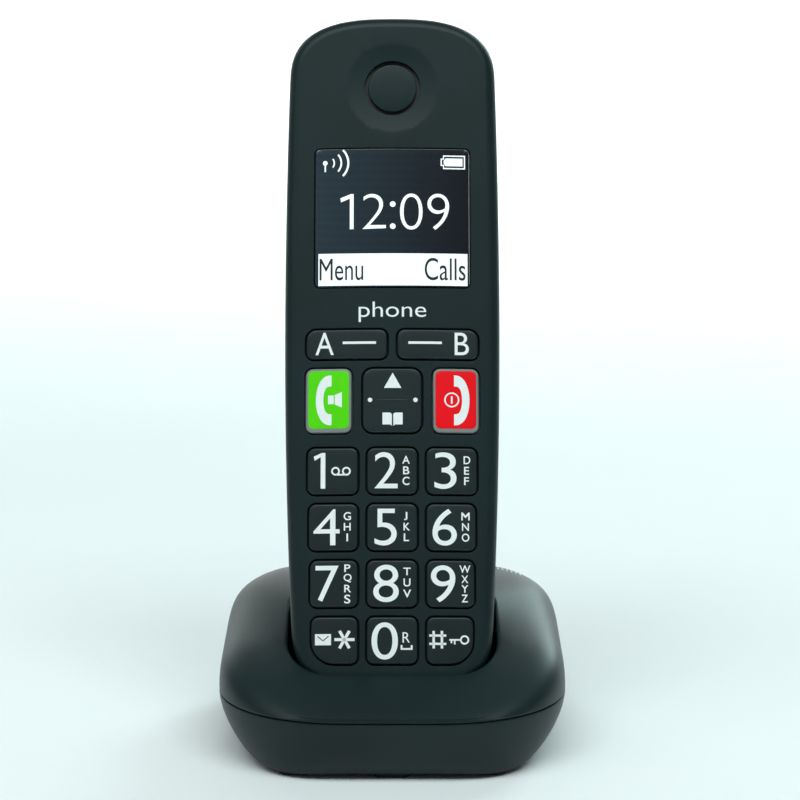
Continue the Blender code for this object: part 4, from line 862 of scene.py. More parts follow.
# a round bar bent along a spiral: battery springs; Turns, radii and rise are its sizes
def makeSpringTree():
    tree, given, end = geometryTree("springCoil", {
        "Turns": 3.0, "Bottom Radius": 3.2, "Top Radius": 1.6, "Rise": 1.3,
        "Wire Radius": 0.2, "Resolution": 26})
    coil = addNode(tree, "GeometryNodeCurveSpiral",
                   {"Resolution": given.outputs["Resolution"],
                    "Rotations": given.outputs["Turns"],
                    "Start Radius": given.outputs["Bottom Radius"],
                    "End Radius": given.outputs["Top Radius"],
                    "Height": given.outputs["Rise"]})
    wire = addNode(tree, "GeometryNodeCurvePrimitiveCircle",
                   {"Resolution": 10, "Radius": given.outputs["Wire Radius"]})
    tube = addNode(tree, "GeometryNodeCurveToMesh",
                   {"Curve": coil.outputs[0], "Profile Curve": wire.outputs[0],
                    "Fill Caps": True})
    smooth = addNode(tree, "GeometryNodeSetShadeSmooth", {0: tube.outputs[0]})
    return ended(tree, given, end, smooth.outputs[0])


# a pan-head screw with a cross recess, axis along Z, head up, its top at zero
def makeScrewTree():
    tree, given, end = geometryTree("crossScrew", {
        "Head Radius": 2.2, "Head Height": 1.2, "Shank Radius": 1.1, "Length": 11.0,
        "Cross Width": 0.55, "Cross Span": 2.4, "Cross Depth": 0.7})
    size = given.outputs
    head = addNode(tree, "GeometryNodeMeshCylinder",
                   {"Vertices": 40, "Radius": size["Head Radius"], "Depth": size["Head Height"]})
    up = vector(tree, Z=maths(tree, "MULTIPLY", size["Head Height"], -0.5))
    headAt = addNode(tree, "GeometryNodeTransform",
                     {"Geometry": head.outputs[0], "Translation": up})
    arms = addNode(tree, "GeometryNodeJoinGeometry")
    for wide, tall in (("Cross Width", "Cross Span"), ("Cross Span", "Cross Width")):
        spans = vector(tree, X=size[wide], Y=size[tall], Z=size["Cross Depth"])
        arm = addNode(tree, "GeometryNodeMeshCube", {"Size": spans})
        tree.links.new(arm.outputs[0], arms.inputs[0])
    cut = addNode(tree, "GeometryNodeMeshBoolean",
                  {"Mesh 1": headAt.outputs[0], "Mesh 2": arms.outputs[0],
                   "Self Intersection": True}, operation="DIFFERENCE", solver="EXACT")
    shank = addNode(tree, "GeometryNodeMeshCylinder",
                    {"Vertices": 24, "Radius": size["Shank Radius"], "Depth": size["Length"]})
    down = maths(tree, "MULTIPLY", size["Length"], -0.5)
    below = vector(tree, Z=maths(tree, "SUBTRACT", down, size["Head Height"]))
    shankAt = addNode(tree, "GeometryNodeTransform",
                      {"Geometry": shank.outputs[0], "Translation": below})
    both = addNode(tree, "GeometryNodeJoinGeometry", {0: cut.outputs[0]})
    tree.links.new(shankAt.outputs[0], both.inputs[0])
    return ended(tree, given, end, both.outputs[0])


# small round dots in a grid
def makeDotTree():
    tree, given, end = geometryTree("dotField", {
        "Columns": 6, "Rows": 3, "Spacing": 1.1, "Radius": 0.32, "Height": 0.3})
    size = given.outputs
    wide, tall = [maths(tree, "MULTIPLY", maths(tree, "SUBTRACT", size[label], 1.0),
                        size["Spacing"]) for label in ("Columns", "Rows")]
    grid = addNode(tree, "GeometryNodeMeshGrid",
                   {"Vertices X": size["Columns"], "Vertices Y": size["Rows"],
                    "Size X": wide, "Size Y": tall})
    ball = addNode(tree, "GeometryNodeMeshUVSphere",
                   {"Segments": 14, "Rings": 8, "Radius": size["Radius"]})
    flat = maths(tree, "DIVIDE", size["Height"], size["Radius"])
    placed = addNode(tree, "GeometryNodeInstanceOnPoints",
                     {"Points": grid.outputs[0], "Instance": ball.outputs[0],
                      "Scale": vector(tree, X=1.0, Y=1.0, Z=flat)})
    smooth = addNode(tree, "GeometryNodeSetShadeSmooth", {0: placed.outputs[0]})
    return ended(tree, given, end, smooth.outputs[0])


slotTree, springTree = makeSlotTree(), makeSpringTree()
screwTree, dotTree = makeScrewTree(), makeDotTree()


def moved(obj, matrix):
    obj.data.transform(matrix)
    return obj


def block(name, low, high, round=0.0, steps=3):
    work = bmesh.new()
    bmesh.ops.create_cube(work, size=1.0)
    bmesh.ops.scale(work, vec=[b - a for a, b in zip(low, high)], verts=work.verts)
    bmesh.ops.translate(work, vec=[(a + b) / 2 for a, b in zip(low, high)],
                        verts=work.verts)
    if round:
        bmesh.ops.bevel(work, geom=list(work.edges), offset=round, segments=steps,
                        profile=0.5, affect="EDGES")
    mesh = bpy.data.meshes.new(name)
    work.to_mesh(mesh)
    work.free()
    return addObject(name, mesh)


def backOpening(name, outlineAt, start, grow, lipRound=0.25):
    back = handset["depth"]
    return stack(name, [(start, -grow), (back - lipRound, -grow),
                        (back - 0.3 * lipRound, -grow - 0.35 * lipRound),
                        (back, -grow - lipRound), (back + 3, -grow - lipRound)], outlineAt)


def turnedUp(name, profile, x, y, z, steps=48, closed=True):
    # (radius, height) pairs turned about the Z axis at x, y
    return loft(name, [[(px, py, z + h) for px, py in circle(x, y, r, steps)]
                       for r, h in profile], closed)


# the rear shell with its battery bay, door seat, screw wells and sound slots
bay = {"cellRadius": 5.2, "cellLength": 44.5, "clear": 0.4, "tray": 1.2, "low": 57.0,
       "endRoom": 2.6, "half": 11.2, "top": 106.7, "floor": 13.4}
door = {"half": 16.5, "low": 50.0, "top": 111.7, "corner": 3.0, "thick": 1.8,
        "hookInner": 6.0, "hookOuter": 11.0, "hookReach": 1.6}
depth, rearRound, taper = handset["depth"], handset["rearRound"], handset["rearTaper"]
rearStart = splitAt + handset["gap"]
innerRound = rearRound - wall
rearProfile = [(depth - wall - innerRound + innerRound * math.sin(0.5 * math.pi * k / 5),
                wall + taper + innerRound * (1 - math.cos(0.5 * math.pi * k / 5)))
               for k in range(5, -1, -1)]
rearProfile += [(rearStart, wall), (rearStart, 0.25), (rearStart + 0.07, 0.07),
                (rearStart + 0.25, 0.0), (15.5, taper * 0.45)]
rearProfile += [(depth - rearRound + rearRound * math.sin(0.5 * math.pi * k / 14),
                 taper + rearRound * (1 - math.cos(0.5 * math.pi * k / 14)))
                for k in range(15)]
rearShell = stack("handset_back", rearProfile, contour)
ledge = block("ledge", (-door["half"] - 1.6, depth - wall - 1.9, door["low"] - 2.2),
              (door["half"] + 1.6, depth - wall / 2, door["top"] + 2.2))
tray = block("tray", (-bay["half"] - bay["tray"], bay["floor"] - bay["tray"],
                      bay["low"] - bay["tray"]),
             (bay["half"] + bay["tray"], depth - wall / 2, bay["top"] + bay["tray"]))
combined(rearShell, ledge, "UNION")
combined(rearShell, tray, "UNION")
doorAt = roundedBox(-door["half"], door["half"], door["low"], door["top"],
                    [door["corner"]] * 4)
combined(rearShell, backOpening("cutSeat", doorAt, depth - wall - 0.3, 0.3))
combined(rearShell, block("cutBay", (-bay["half"], bay["floor"], bay["low"]),
                          (bay["half"], 40, bay["top"])))
screwSpot = {"x": 17.0, "z": 150.0, "head": 2.2, "shank": 1.1}
cutters = []
for side in (-1, 1):
    x = side * screwSpot["x"]
    combined(rearShell, turnedBody("sleeve", [(screwSpot["head"] + 1.4, rearStart + 0.3),
                                              (screwSpot["head"] + 1.4, depth - wall / 2)],
                                   x, screwSpot["z"], 40), "UNION")
    cutters.append(turnedBody("cutWell", [
        (screwSpot["shank"] + 0.3, 5), (screwSpot["shank"] + 0.3, 16),
        (screwSpot["head"] + 0.3, 16), (screwSpot["head"] + 0.3, 26.3),
        (screwSpot["head"] + 0.55, 27.0), (screwSpot["head"] + 0.55, 40)],
        x, screwSpot["z"], 40))
    low, high = sorted((side * (door["hookInner"] - 0.6), side * (door["hookOuter"] + 0.6)))
    cutters.append(block("cutHook", (low, 20, door["low"] - door["hookReach"] - 0.4),
                         (high, depth - wall - 0.1, bay["low"] - bay["tray"] - 0.4)))
    cutters.append(block("cutPlate", (side * 9 - 2.2, 15 - 1.9, -1),
                         (side * 9 + 2.2, 15 + 1.9, 6)))
sound = softened(grown("cutSound", slotTree, {"Count": 5, "Pitch": 2.6, "Length": 12.0,
                                              "Height": 1.2, "Depth": 14.0, "Taper": 2.2}),
                 0.55, 4)
cutters.append(moved(sound, Matrix.Translation((0, depth + 1.0, 140.0))))
combined(rearShell, joined("cutters", cutters))
finished(rearShell, handsetPlace, "handset", mouldedAbs,
         ["handset_rear_shell"])
print("stage: rear shell,", len(rearShell.data.polygons), "faces")

# the battery door: two hooks at its lower edge, a row of grip ribs at its upper end
doorEdge = [(depth - 0.4 + 0.4 * math.sin(0.5 * math.pi * k / 4),
             0.4 * (1 - math.cos(0.5 * math.pi * k / 4))) for k in range(1, 5)]
doorBody = stack("battery_cover", [(depth - door["thick"], 0.0), (depth - 0.4, 0.0)] + doorEdge,
                 doorAt)
for side in (-1, 1):
    low, high = sorted((side * door["hookInner"], side * door["hookOuter"]))
    combined(doorBody, block("neck", (low, depth - wall - 1.5, door["low"] + 0.4),
                             (high, depth - wall + 0.5, door["low"] + 1.6)), "UNION")
    combined(doorBody, block("hook", (low, depth - wall - 2.0,
                                      door["low"] - door["hookReach"]),
                             (high, depth - wall - 0.8, door["low"] + 1.6)), "UNION")
finished(doorBody, handsetPlace, "battery_door", mouldedAbs,
         ["battery_door"])
ribs = softened(grown("cover_grip", slotTree, {"Count": 7, "Pitch": 1.7, "Length": 15.0,
                                               "Height": 0.8, "Depth": 0.7, "Taper": 1.4}),
                0.3, 3, "ANGLE")
moved(ribs, Matrix.Translation((0, depth + 0.02, 102.0)))
finished(ribs, handsetPlace, "battery_door", mouldedAbs)
print("stage: battery door")

# two cells end for end, with a spring on each negative end and a dimple on each positive
cellDepth = bay["floor"] + bay["clear"] + bay["cellRadius"]
cellLow = bay["low"] + bay["endRoom"]
cellX = bay["cellRadius"] + bay["clear"] / 2


def wrapped(mesh, radius, x, y):
    # a flat print laid round a cell, facing the back
    work = bmesh.new()
    work.from_mesh(mesh)
    spots = [v.co.x for v in work.verts]
    for k in range(math.ceil(min(spots) / 0.5), math.floor(max(spots) / 0.5) + 1):
        whole = list(work.verts) + list(work.edges) + list(work.faces)
        bmesh.ops.bisect_plane(work, geom=whole, plane_co=(k * 0.5, 0, 0),
                               plane_no=(1, 0, 0), dist=1e-5)
    for vert in work.verts:
        reach, angle = radius + vert.co.y, vert.co.x / radius
        vert.co = Vector((x + reach * math.sin(angle), y + reach * math.cos(angle),
                          vert.co.z))
    bmesh.ops.recalc_face_normals(work, faces=work.faces)
    work.to_mesh(mesh)
    work.free()
    return mesh


for side, word in ((-1, "left"), (1, "right")):
    length, radius, x = bay["cellLength"], bay["cellRadius"], side * cellX
    ups = 1 if side > 0 else -1
    can = [(0.02, 0.25), (3.4, 0.25), (3.6, 0.05), (4.6, 0.05), (4.95, 0.35), (4.95, 43.0),
           (4.6, 43.35), (3.2, 43.35), (2.9, 43.5), (1.8, 43.5), (1.8, 44.35), (1.65, 44.5),
           (0.02, 44.5)]
    sleeve = [(4.2, 0.0), (4.9, 0.0), (5.1, 0.12), (radius, 0.4), (radius, 43.0),
              (5.1, 43.35), (4.9, 43.5), (4.1, 43.5), (4.1, 43.36), (4.96, 43.3),
              (4.96, 0.2), (4.2, 0.1)]
    for name, profile, look, slotName, nodes in (
            ("cell_sleeve_" + word, sleeve, cellSleeve, "cell_sleeve", ["battery_" + word]),
            ("cell_can_" + word, can, zincSteel, "steel", [])):
        if ups < 0:
            profile = [(r, length - h) for r, h in profile][::-1]
        hollow = "sleeve" in name
        body = turnedUp(name, profile + profile[:1] if hollow else profile, x, cellDepth,
                        cellLow, 56, not hollow)
        finished(body, handsetPlace, "handset", look, nodes)
    plusZ = cellLow + (36.5 if ups > 0 else 8.0)
    minusZ = cellLow + (6.0 if ups > 0 else 38.5)
    signs = printed([shape(rectangle(-1.5, 1.5, plusZ - 0.35, plusZ + 0.35)),
                     shape(rectangle(-0.35, 0.35, plusZ + 0.36, plusZ + 1.5)),
                     shape(rectangle(-0.35, 0.35, plusZ - 1.5, plusZ - 0.36)),
                     shape(rectangle(-1.5, 1.5, minusZ - 0.35, minusZ + 0.35)),
                     shape(rectangle(-7.0, 7.0, plusZ - ups * 3.4 - 0.4,
                                     plusZ - ups * 3.4 + 0.4))], -0.04, 0.03)
    finished(addObject("cell_print_" + word, wrapped(signs, radius, x, cellDepth)),
             handsetPlace, "handset", whiteInk, even=False)
    plateLow = bay["top"] - 0.3 - 1.0
    plate = block("contact_plate_" + word, (x - 3.4, bay["floor"] + 1.2, plateLow + 0.5),
                  (x + 3.4, bay["floor"] + 9.0, plateLow + 1.0), 0.2)
    bump = turnedUp("bump", [(1.9, 0.0), (1.6, -0.6), (1.1, -1.0), (0.02, -1.15)][::-1]
                    if ups > 0 else [(0.5, 0.0), (0.5, 0.02)], x, cellDepth, plateLow + 0.52)
    finished(joined("contact_plate_" + word, [plate, bump]), handsetPlace, "handset",
             nickelWire, ["battery_contact_" + word])
bridge = block("contact_bridge", (-bay["half"] + 1.5, bay["floor"] + 1.2, bay["low"] + 0.3),
               (bay["half"] - 1.5, bay["floor"] + 9.0, bay["low"] + 0.8), 0.2)
bump = turnedUp("bump", [(1.9, 0.0), (1.6, 0.9), (1.1, 1.4), (0.02, 1.6)], -cellX, cellDepth,
                bay["low"] + 0.78)
finished(joined("contact_bridge", [bridge, bump]), handsetPlace, "handset", nickelWire,
         ["battery_contact_bridge"])
for side, low in ((1, bay["low"] + 0.95), (-1, bay["top"] - 0.95)):
    name = "spring_" + ("left" if side < 0 else "right")
    coil = grown(name, springTree, {"Turns": 3.0, "Bottom Radius": 3.3, "Top Radius": 1.7,
                                    "Rise": 1.45, "Wire Radius": 0.17, "Resolution": 26})
    turn = Matrix.Rotation(math.pi, 4, "X") if side < 0 else Matrix()
    moved(coil, Matrix.Translation((side * cellX, cellDepth, low)) @ turn)
    finished(coil, handsetPlace, "handset", nickelWire, even=False)
for side, word in ((-1, "left"), (1, "right")):
    screw = grown("case_screw_" + word, screwTree, {
        "Head Radius": 2.2, "Head Height": 1.3, "Shank Radius": 1.1, "Length": 10.4,
        "Cross Width": 0.55, "Cross Span": 2.5, "Cross Depth": 1.2})
    moved(screw, Matrix.Translation((side * screwSpot["x"], 17.6, screwSpot["z"]))
          @ Matrix.Rotation(-math.pi / 2, 4, "X"))
    finished(screw, handsetPlace, "handset", zincSteel, ["handset_screw_" + word])
    plate = block("charge_plate_" + word, (side * 9 - 1.9, 13.4, 0.35),
                  (side * 9 + 1.9, 16.6, 3.4), 0.35)
    finished(plate, handsetPlace, "handset", goldPlate,
             ["charging_plate_" + word])
    pin = block("charge_pin_" + word, (side * 9 - 1.5, 13.7, -4.0),
                (side * 9 + 1.5, 16.3, 0.05), 0.6, 5)
    finished(pin, handsetPlace, "charging_pin_" + word, goldPlate,
             ["charging_pin_" + word])
print("stage: cells, contacts and screws")

# the base: a waisted dome over a boat-shaped hull, with a pocket that leans back
base = {
    "halfWidth": 42.8, "halfDepth": 44.0, "cornerFront": 30.0, "cornerRear": 20.0,
    "seam": 15.5, "gap": 0.3, "rimSlope": 20.5, "lipY": -27.6, "lipZ": 23.0,
    "pocketHalf": 25.65, "pocketFront": -0.8, "pocketRear": 27.8, "frontCorner": 11.0,
    "rearCorner": 7.0, "floorCorner": 12.0, "floorAt": -1.0, "lipRound": 1.3, "shell": 1.0,
    "footHalf": 32.5, "floorFront": -38.5, "floorRear": 35.0, "footCorner": 13.0,
    "floorZ": 1.2, "smoothing": 8, "trayWall": 1.6,
}
pocketOrigin = (handsetOrigin - Vector((0, baseMiddle, 0))) * 1000


def stations(half, front, rear, cornerFront, cornerRear):
    # plan outline, anticlockwise from the right side, with the same count on every outline
    points = []
    waist = (front + cornerFront + rear - cornerRear) / 2

    def run(a, b, count):
        for k in range(count):
            points.append((a[0] + (b[0] - a[0]) * k / count, a[1] + (b[1] - a[1]) * k / count))

    def turn(x, y, radius, start, count=22):
        for k in range(count):
            angle = start + 0.5 * math.pi * k / count
            points.append((x + radius * math.cos(angle), y + radius * math.sin(angle)))

    run((half, waist), (half, rear - cornerRear), 8)
    turn(half - cornerRear, rear - cornerRear, cornerRear, 0)
    run((half - cornerRear, rear), (cornerRear - half, rear), 26)
    turn(cornerRear - half, rear - cornerRear, cornerRear, 0.5 * math.pi)
    run((-half, rear - cornerRear), (-half, front + cornerFront), 16)
    turn(cornerFront - half, front + cornerFront, cornerFront, math.pi)
    run((cornerFront - half, front), (half - cornerFront, front), 26)
    turn(half - cornerFront, front + cornerFront, cornerFront, 1.5 * math.pi)
    run((half, front + cornerFront), (half, waist), 8)
    return np.array(points)


def smoothed(ring, passes):
    for _ in range(passes):
        ring = 0.25 * np.roll(ring, 1, 0) + 0.5 * ring + 0.25 * np.roll(ring, -1, 0)
    return ring


seamPlan = smoothed(stations(base["halfWidth"], -base["halfDepth"], base["halfDepth"],
                             base["cornerFront"], base["cornerRear"]), base["smoothing"])
seamPlan[:, 0] *= base["halfWidth"] / np.abs(seamPlan[:, 0]).max()
seamPlan[:, 1] *= base["halfDepth"] / np.abs(seamPlan[:, 1]).max()
pocketPlan = stations(base["pocketHalf"], base["pocketFront"], base["pocketRear"],
                      base["frontCorner"], base["rearCorner"])
slope = math.tan(math.radians(base["rimSlope"]))
start, inw, alg = np.array(pocketOrigin), np.array(inward), np.array(along)


def pocketPoint(x, across, up):
    return start + inw * across + alg * up + np.array((x, 0, 0))


def rimHeight(across):
    flat = pocketPoint(0, across, 0)
    return ((slope * (flat[1] - base["lipY"]) - (flat[2] - base["lipZ"]))
            / (alg[2] - slope * alg[1]))


def floorHeight(x):
    bend0 = base["pocketHalf"] - base["floorCorner"]
    over = max(0.0, abs(x) - bend0)
    r = base["floorCorner"]
    return base["floorAt"] + r - math.sqrt(max(r * r - over * over, 0.0))


rim = np.array([pocketPoint(x, y, rimHeight(y)) for x, y in pocketPlan])
seamRing = np.column_stack([seamPlan, np.full(len(seamPlan), base["seam"])])
out = seamPlan - rim[:, :2]
reach = np.linalg.norm(out, axis=1)
out = out / reach[:, None]
frontShare = np.clip(-out[:, 1], 0, None) ** 2
rearShare = np.clip(out[:, 1], 0, None) ** 2
sideShare = 1 - frontShare - rearShare
drop = np.tan(np.radians(-20 * frontShare - 4 * sideShare + 4 * rearShare))
shoulder = 0.60 * frontShare + 0.83 * sideShare + 0.78 * rearShare
upright = 0.08 * frontShare + 0.85 * sideShare + 0.85 * rearShare
pull = shoulder * reach
nearRim = np.column_stack([rim[:, :2] + out * pull[:, None], rim[:, 2] + drop * pull])
nearSeam = np.column_stack([seamPlan, base["seam"] + upright * (rim[:, 2] - base["seam"])])
nearRim = smoothed(nearRim, 4)
nearSeam[:, 2] = smoothed(nearSeam[:, 2:], 4)[:, 0]


def bezier(t, *controls):
    a, b, c, d = controls
    s = 1 - t
    return s ** 3 * a + 3 * s * s * t * b + 3 * s * t * t * c + t ** 3 * d


count, levels, rollSteps = len(rim), 30, 6
domeRings = [[] for _ in range(levels + 1)]
rollRings = [[] for _ in range(rollSteps)]
wallRings = [[] for _ in range(9)]
fineT = np.linspace(0, 1, 161)
for i in range(count):
    line = np.array([bezier(t, seamRing[i], nearSeam[i], nearRim[i], rim[i]) for t in fineT])
    gone = np.concatenate([[0], np.cumsum(np.linalg.norm(np.diff(line, axis=0), axis=1))])
    stop = gone[-1] - base["lipRound"]
    for k in range(levels + 1):
        share = k / levels
        goal = stop * share
        domeRings[k].append([np.interp(goal, gone, line[:, axis]) for axis in range(3)])
    edge = np.array(domeRings[-1][-1])
    x, across = pocketPlan[i]
    top = rimHeight(across)
    inside = pocketPoint(x, across, top - base["lipRound"])
    for k in range(rollSteps):
        t = (k + 1) / rollSteps
        rollRings[k].append((1 - t) ** 2 * edge + 2 * t * (1 - t) * rim[i] + t * t * inside)
    low = floorHeight(x)
    for k in range(9):
        t = (k + 1) / 9
        up = top - base["lipRound"] + (low - top + base["lipRound"]) * t
        wallRings[k].append(pocketPoint(x, across, up))
middle = (base["pocketFront"] + base["pocketRear"]) / 2
floorRings = []
for share in (0.97, 0.9, 0.75, 0.55, 0.35, 0.15, 0.02):
    ring = []
    for x, across in pocketPlan:
        nx, ny = x * share, middle + (across - middle) * share
        ring.append(pocketPoint(nx, ny, floorHeight(nx)))
    floorRings.append(ring)
lowEdge = []
for inset, z in ((0.35, base["seam"]), (0.1, base["seam"] + 0.08)):
    pulled = seamPlan - out * inset
    lowEdge.append(np.column_stack([pulled, np.full(count, z)]))
domeRings[0] = np.column_stack([seamPlan, np.full(count, base["seam"] + 0.35)])
allRings = lowEdge + domeRings + rollRings + wallRings + floorRings


def openLoft(name, rings):
    # open at the first ring, filled at the last
    work = bmesh.new()
    loops = [[work.verts.new(tuple(point)) for point in ring] for ring in rings]
    n = len(loops[0])
    for low, high in zip(loops, loops[1:]):
        for i in range(n):
            j = (i + 1) % n
            work.faces.new((low[i], low[j], high[j], high[i]))
    work.faces.new(loops[-1])
    bmesh.ops.remove_doubles(work, verts=work.verts, dist=1e-4)
    bmesh.ops.recalc_face_normals(work, faces=work.faces)
    mesh = bpy.data.meshes.new(name)
    work.to_mesh(mesh)
    work.free()
    return addObject(name, mesh)


def walled(obj, thickness):
    step = obj.modifiers.new("wall", "SOLIDIFY")
    step.thickness = thickness
    step.offset = -1.0
    step.use_even_offset = False
    return baked(obj)


baseTop = openLoft("base_cover", allRings)
probe = BVHTree.FromPolygons([v.co.copy() for v in baseTop.data.vertices],
                             [tuple(p.vertices) for p in baseTop.data.polygons])


def domeAt(x, y):
    # height and facing of the cover's skin at a place behind the handset
    hit = probe.ray_cast(Vector((x, y, 80)), Vector((0, 0, -1)))
    return hit[0].z, hit[1]


# the skin faces out before it is thickened inward
if domeAt(0, 40)[1].z < 0:
    baseTop.data.flip_normals()
walled(baseTop, base["shell"])
pageKey = {"x": 21.8, "y": 26.0, "radius": 4.6, "proud": 0.6, "gap": 0.4}
socket = {"width": 13.0, "height": 11.0, "depth": 13.0, "holeWidth": 9.8,
          "holeHeight": 7.6, "x": 9.5, "low": 16.1, "mouth": 38.4}
socketMid = socket["low"] + socket["height"] / 2
cutters = [turnedUp("cutPage", [(pageKey["radius"] + pageKey["gap"], 22),
                                (pageKey["radius"] + pageKey["gap"], 60)],
                    pageKey["x"], pageKey["y"], 0)]
for side in (-1, 1):
    x = side * socket["x"]
    cutters.append(block("cutMouth", (x - socket["holeWidth"] / 2, 36,
                                      socketMid - socket["holeHeight"] / 2),
                         (x + socket["holeWidth"] / 2, 60,
                          socketMid + socket["holeHeight"] / 2), 0.5))
    pinSlot = block("cutPin", (side * 9 - 1.8, 13.4, -8), (side * 9 + 1.8, 16.6, 2), 0.3)
    toBase = Matrix.Translation(pocketOrigin) @ Matrix.Rotation(-lean, 4, "X")
    cutters.append(moved(pinSlot, toBase))
combined(baseTop, joined("cutters", cutters))
finished(baseTop, basePlace, "base", mouldedAbs, ["base_top_shell"])
print("stage: base cover,", len(baseTop.data.polygons), "faces")

footPlan = stations(base["footHalf"], base["floorFront"], base["floorRear"],
                    base["footCorner"], base["footCorner"])
footPlan = smoothed(footPlan, 4)
hullTop, hullLowZ = base["seam"] - base["gap"], base["floorZ"]
fall = hullTop - hullLowZ
hullRings = [np.column_stack([seamPlan - out * inset, np.full(count, hullTop - z)])
             for inset, z in ((0.35, 0.0), (0.1, 0.07))]
upper = np.column_stack([seamPlan, np.full(count, hullTop)])
lower = np.column_stack([footPlan, np.full(count, hullLowZ)])
spread = upper - lower
spread[:, 2] = 0
for k in range(17):
    t = k / 16
    ring = bezier(t, upper, upper - np.array((0, 0, 0.35 * fall)),
                  lower + spread * 0.45 + np.array((0, 0, 0.10 * fall)), lower)
    if k == 0:
        ring = upper - np.array((0, 0, 0.3))
    hullRings.append(ring)
for share in (0.985, 0.9, 0.7):
    hullRings.append(np.column_stack([footPlan * share, np.full(count, hullLowZ)]))
hull = openLoft("base_tray", hullRings)
lowest = min(hull.data.polygons, key=lambda p: p.center.z)
if lowest.normal.z > 0:
    hull.data.flip_normals()
walled(hull, base["trayWall"])
# each foot: centre x and y, half its length across, half its width
feet = {
    "foot_front_left": (-23.3, -33.6, 4.0, 2.2), "foot_front_right": (23.3, -33.6, 4.0, 2.2),
    "foot_front_centre": (0.0, -35.6, 4.4, 2.0),
    "foot_rear_left": (-22.0, 29.5, 4.0, 2.2), "foot_rear_right": (22.0, 29.5, 4.0, 2.2),
}


def stackUp(name, profile, outlineAt):
    # (height, inset) pairs
    return loft(name, [[(x, y, z) for x, y in outlineAt(inset)] for z, inset in profile])


cutters = []
for x, y, half, wide in feet.values():
    cutters.append(stackUp("cutFoot", [(-1, -0.3), (2.0, -0.3)],
                           roundedBox(x - half, x + half, y - wide, y + wide,
                                      [wide * 0.9] * 4)))
baseScrews = {"x": 21.0, "front": -24.0, "rear": 13.0}
screwSpots = [(side * baseScrews["x"], baseScrews[end], end, word)
              for side, word in ((-1, "left"), (1, "right")) for end in ("front", "rear")]
for x, y, end, word in screwSpots:
    cutters.append(turnedUp("cutHead", [(1.6, -1), (1.6, 8)], x, y, 0, 32))
wells = [turnedUp("cutWell", [(2.6, -1), (2.6, 2.1)], x, y, 0, 40)
         for x, y, end, word in screwSpots]
vents = softened(grown("cutVents", slotTree, {"Count": 6, "Pitch": 3.0, "Length": 22.0,
                                              "Height": 1.3, "Depth": 8.0, "Taper": 0.0}),
                 0.6, 4)
moved(vents, Matrix.Translation((0, 20.0, 1.0)) @ Matrix.Rotation(math.pi / 2, 4, "X"))
cutters.append(vents)
cutters.append(block("cutPanel", (-15, -22, -1), (15, -2, hullLowZ + 0.25)))
combined(hull, joined("cutters", cutters))
combined(hull, joined("cutters", wells))
finished(hull, basePlace, "base", mouldedAbs, ["base_bottom_shell"])
for name, (x, y, half, wide) in feet.items():
    foot = stackUp("pad_" + name, [(1.7, 0.0), (0.35, 0.0), (0.12, 0.1), (0.0, 0.35)],
                   roundedBox(x - half, x + half, y - wide, y + wide, [wide * 0.9] * 4))
    finished(foot, basePlace, "base", footRubber, [name])
for x, y, end, word in screwSpots:
    screw = grown(f"tray_screw_{end}_{word}", screwTree, {
        "Head Radius": 2.3, "Head Height": 1.1, "Shank Radius": 1.2, "Length": 6.0,
        "Cross Width": 0.6, "Cross Span": 2.6, "Cross Depth": 1.0})
    moved(screw, Matrix.Translation((x, y, 0.6)) @ Matrix.Rotation(math.pi, 4, "X"))
    finished(screw, basePlace, "base", zincSteel, [f"base_screw_{end}_{word}"])
print("stage: base tray, feet and screws")

# the page key: a round plunger whose top follows the cover behind the handset
centreZ = domeAt(pageKey["x"], pageKey["y"])[0]
keyRings = [[(x, y, centreZ + rise) for x, y in circle(pageKey["x"], pageKey["y"], r, 56)]
            for r, rise in ((5.7, -8.0), (5.7, -6.6), (4.6, -6.6))]
keyRings += [[(x, y, domeAt(x, y)[0] + rise)
              for x, y in circle(pageKey["x"], pageKey["y"], r, 56)]
             for r, rise in ((4.6, 0.25), (4.52, 0.42), (4.3, 0.56), (4.0, 0.6), (2.5, 0.66),
                             (0.05, 0.7))]
finished(loft("page_button", keyRings), basePlace, "page_key", keyAbs,
         ["page_key"])

# two rows of small white dots printed on the cover beside the page key
deckDots = {"x": 27.3, "y": 25.4, "columns": 6, "rows": 2, "step": 1.15, "rowStep": 1.9,
            "radius": 0.26, "proud": 0.05}
dots = grown("deck_dots", dotTree, {
    "Columns": deckDots["columns"], "Rows": deckDots["rows"], "Spacing": deckDots["step"],
    "Radius": deckDots["radius"], "Height": deckDots["radius"]}, whiteInk)
dotsX = deckDots["x"] + (deckDots["columns"] - 1) / 2 * deckDots["step"]
dotsY = deckDots["y"] + (deckDots["rows"] - 1) / 2 * deckDots["rowStep"]
for vertex in dots.data.vertices:
    x = vertex.co.x + dotsX
    y = vertex.co.y * deckDots["rowStep"] / deckDots["step"] + dotsY
    height = vertex.co.z / deckDots["radius"] * deckDots["proud"]
    vertex.co = (x, y, domeAt(x, y)[0] + height)
finished(dots, basePlace, "base", whiteInk)

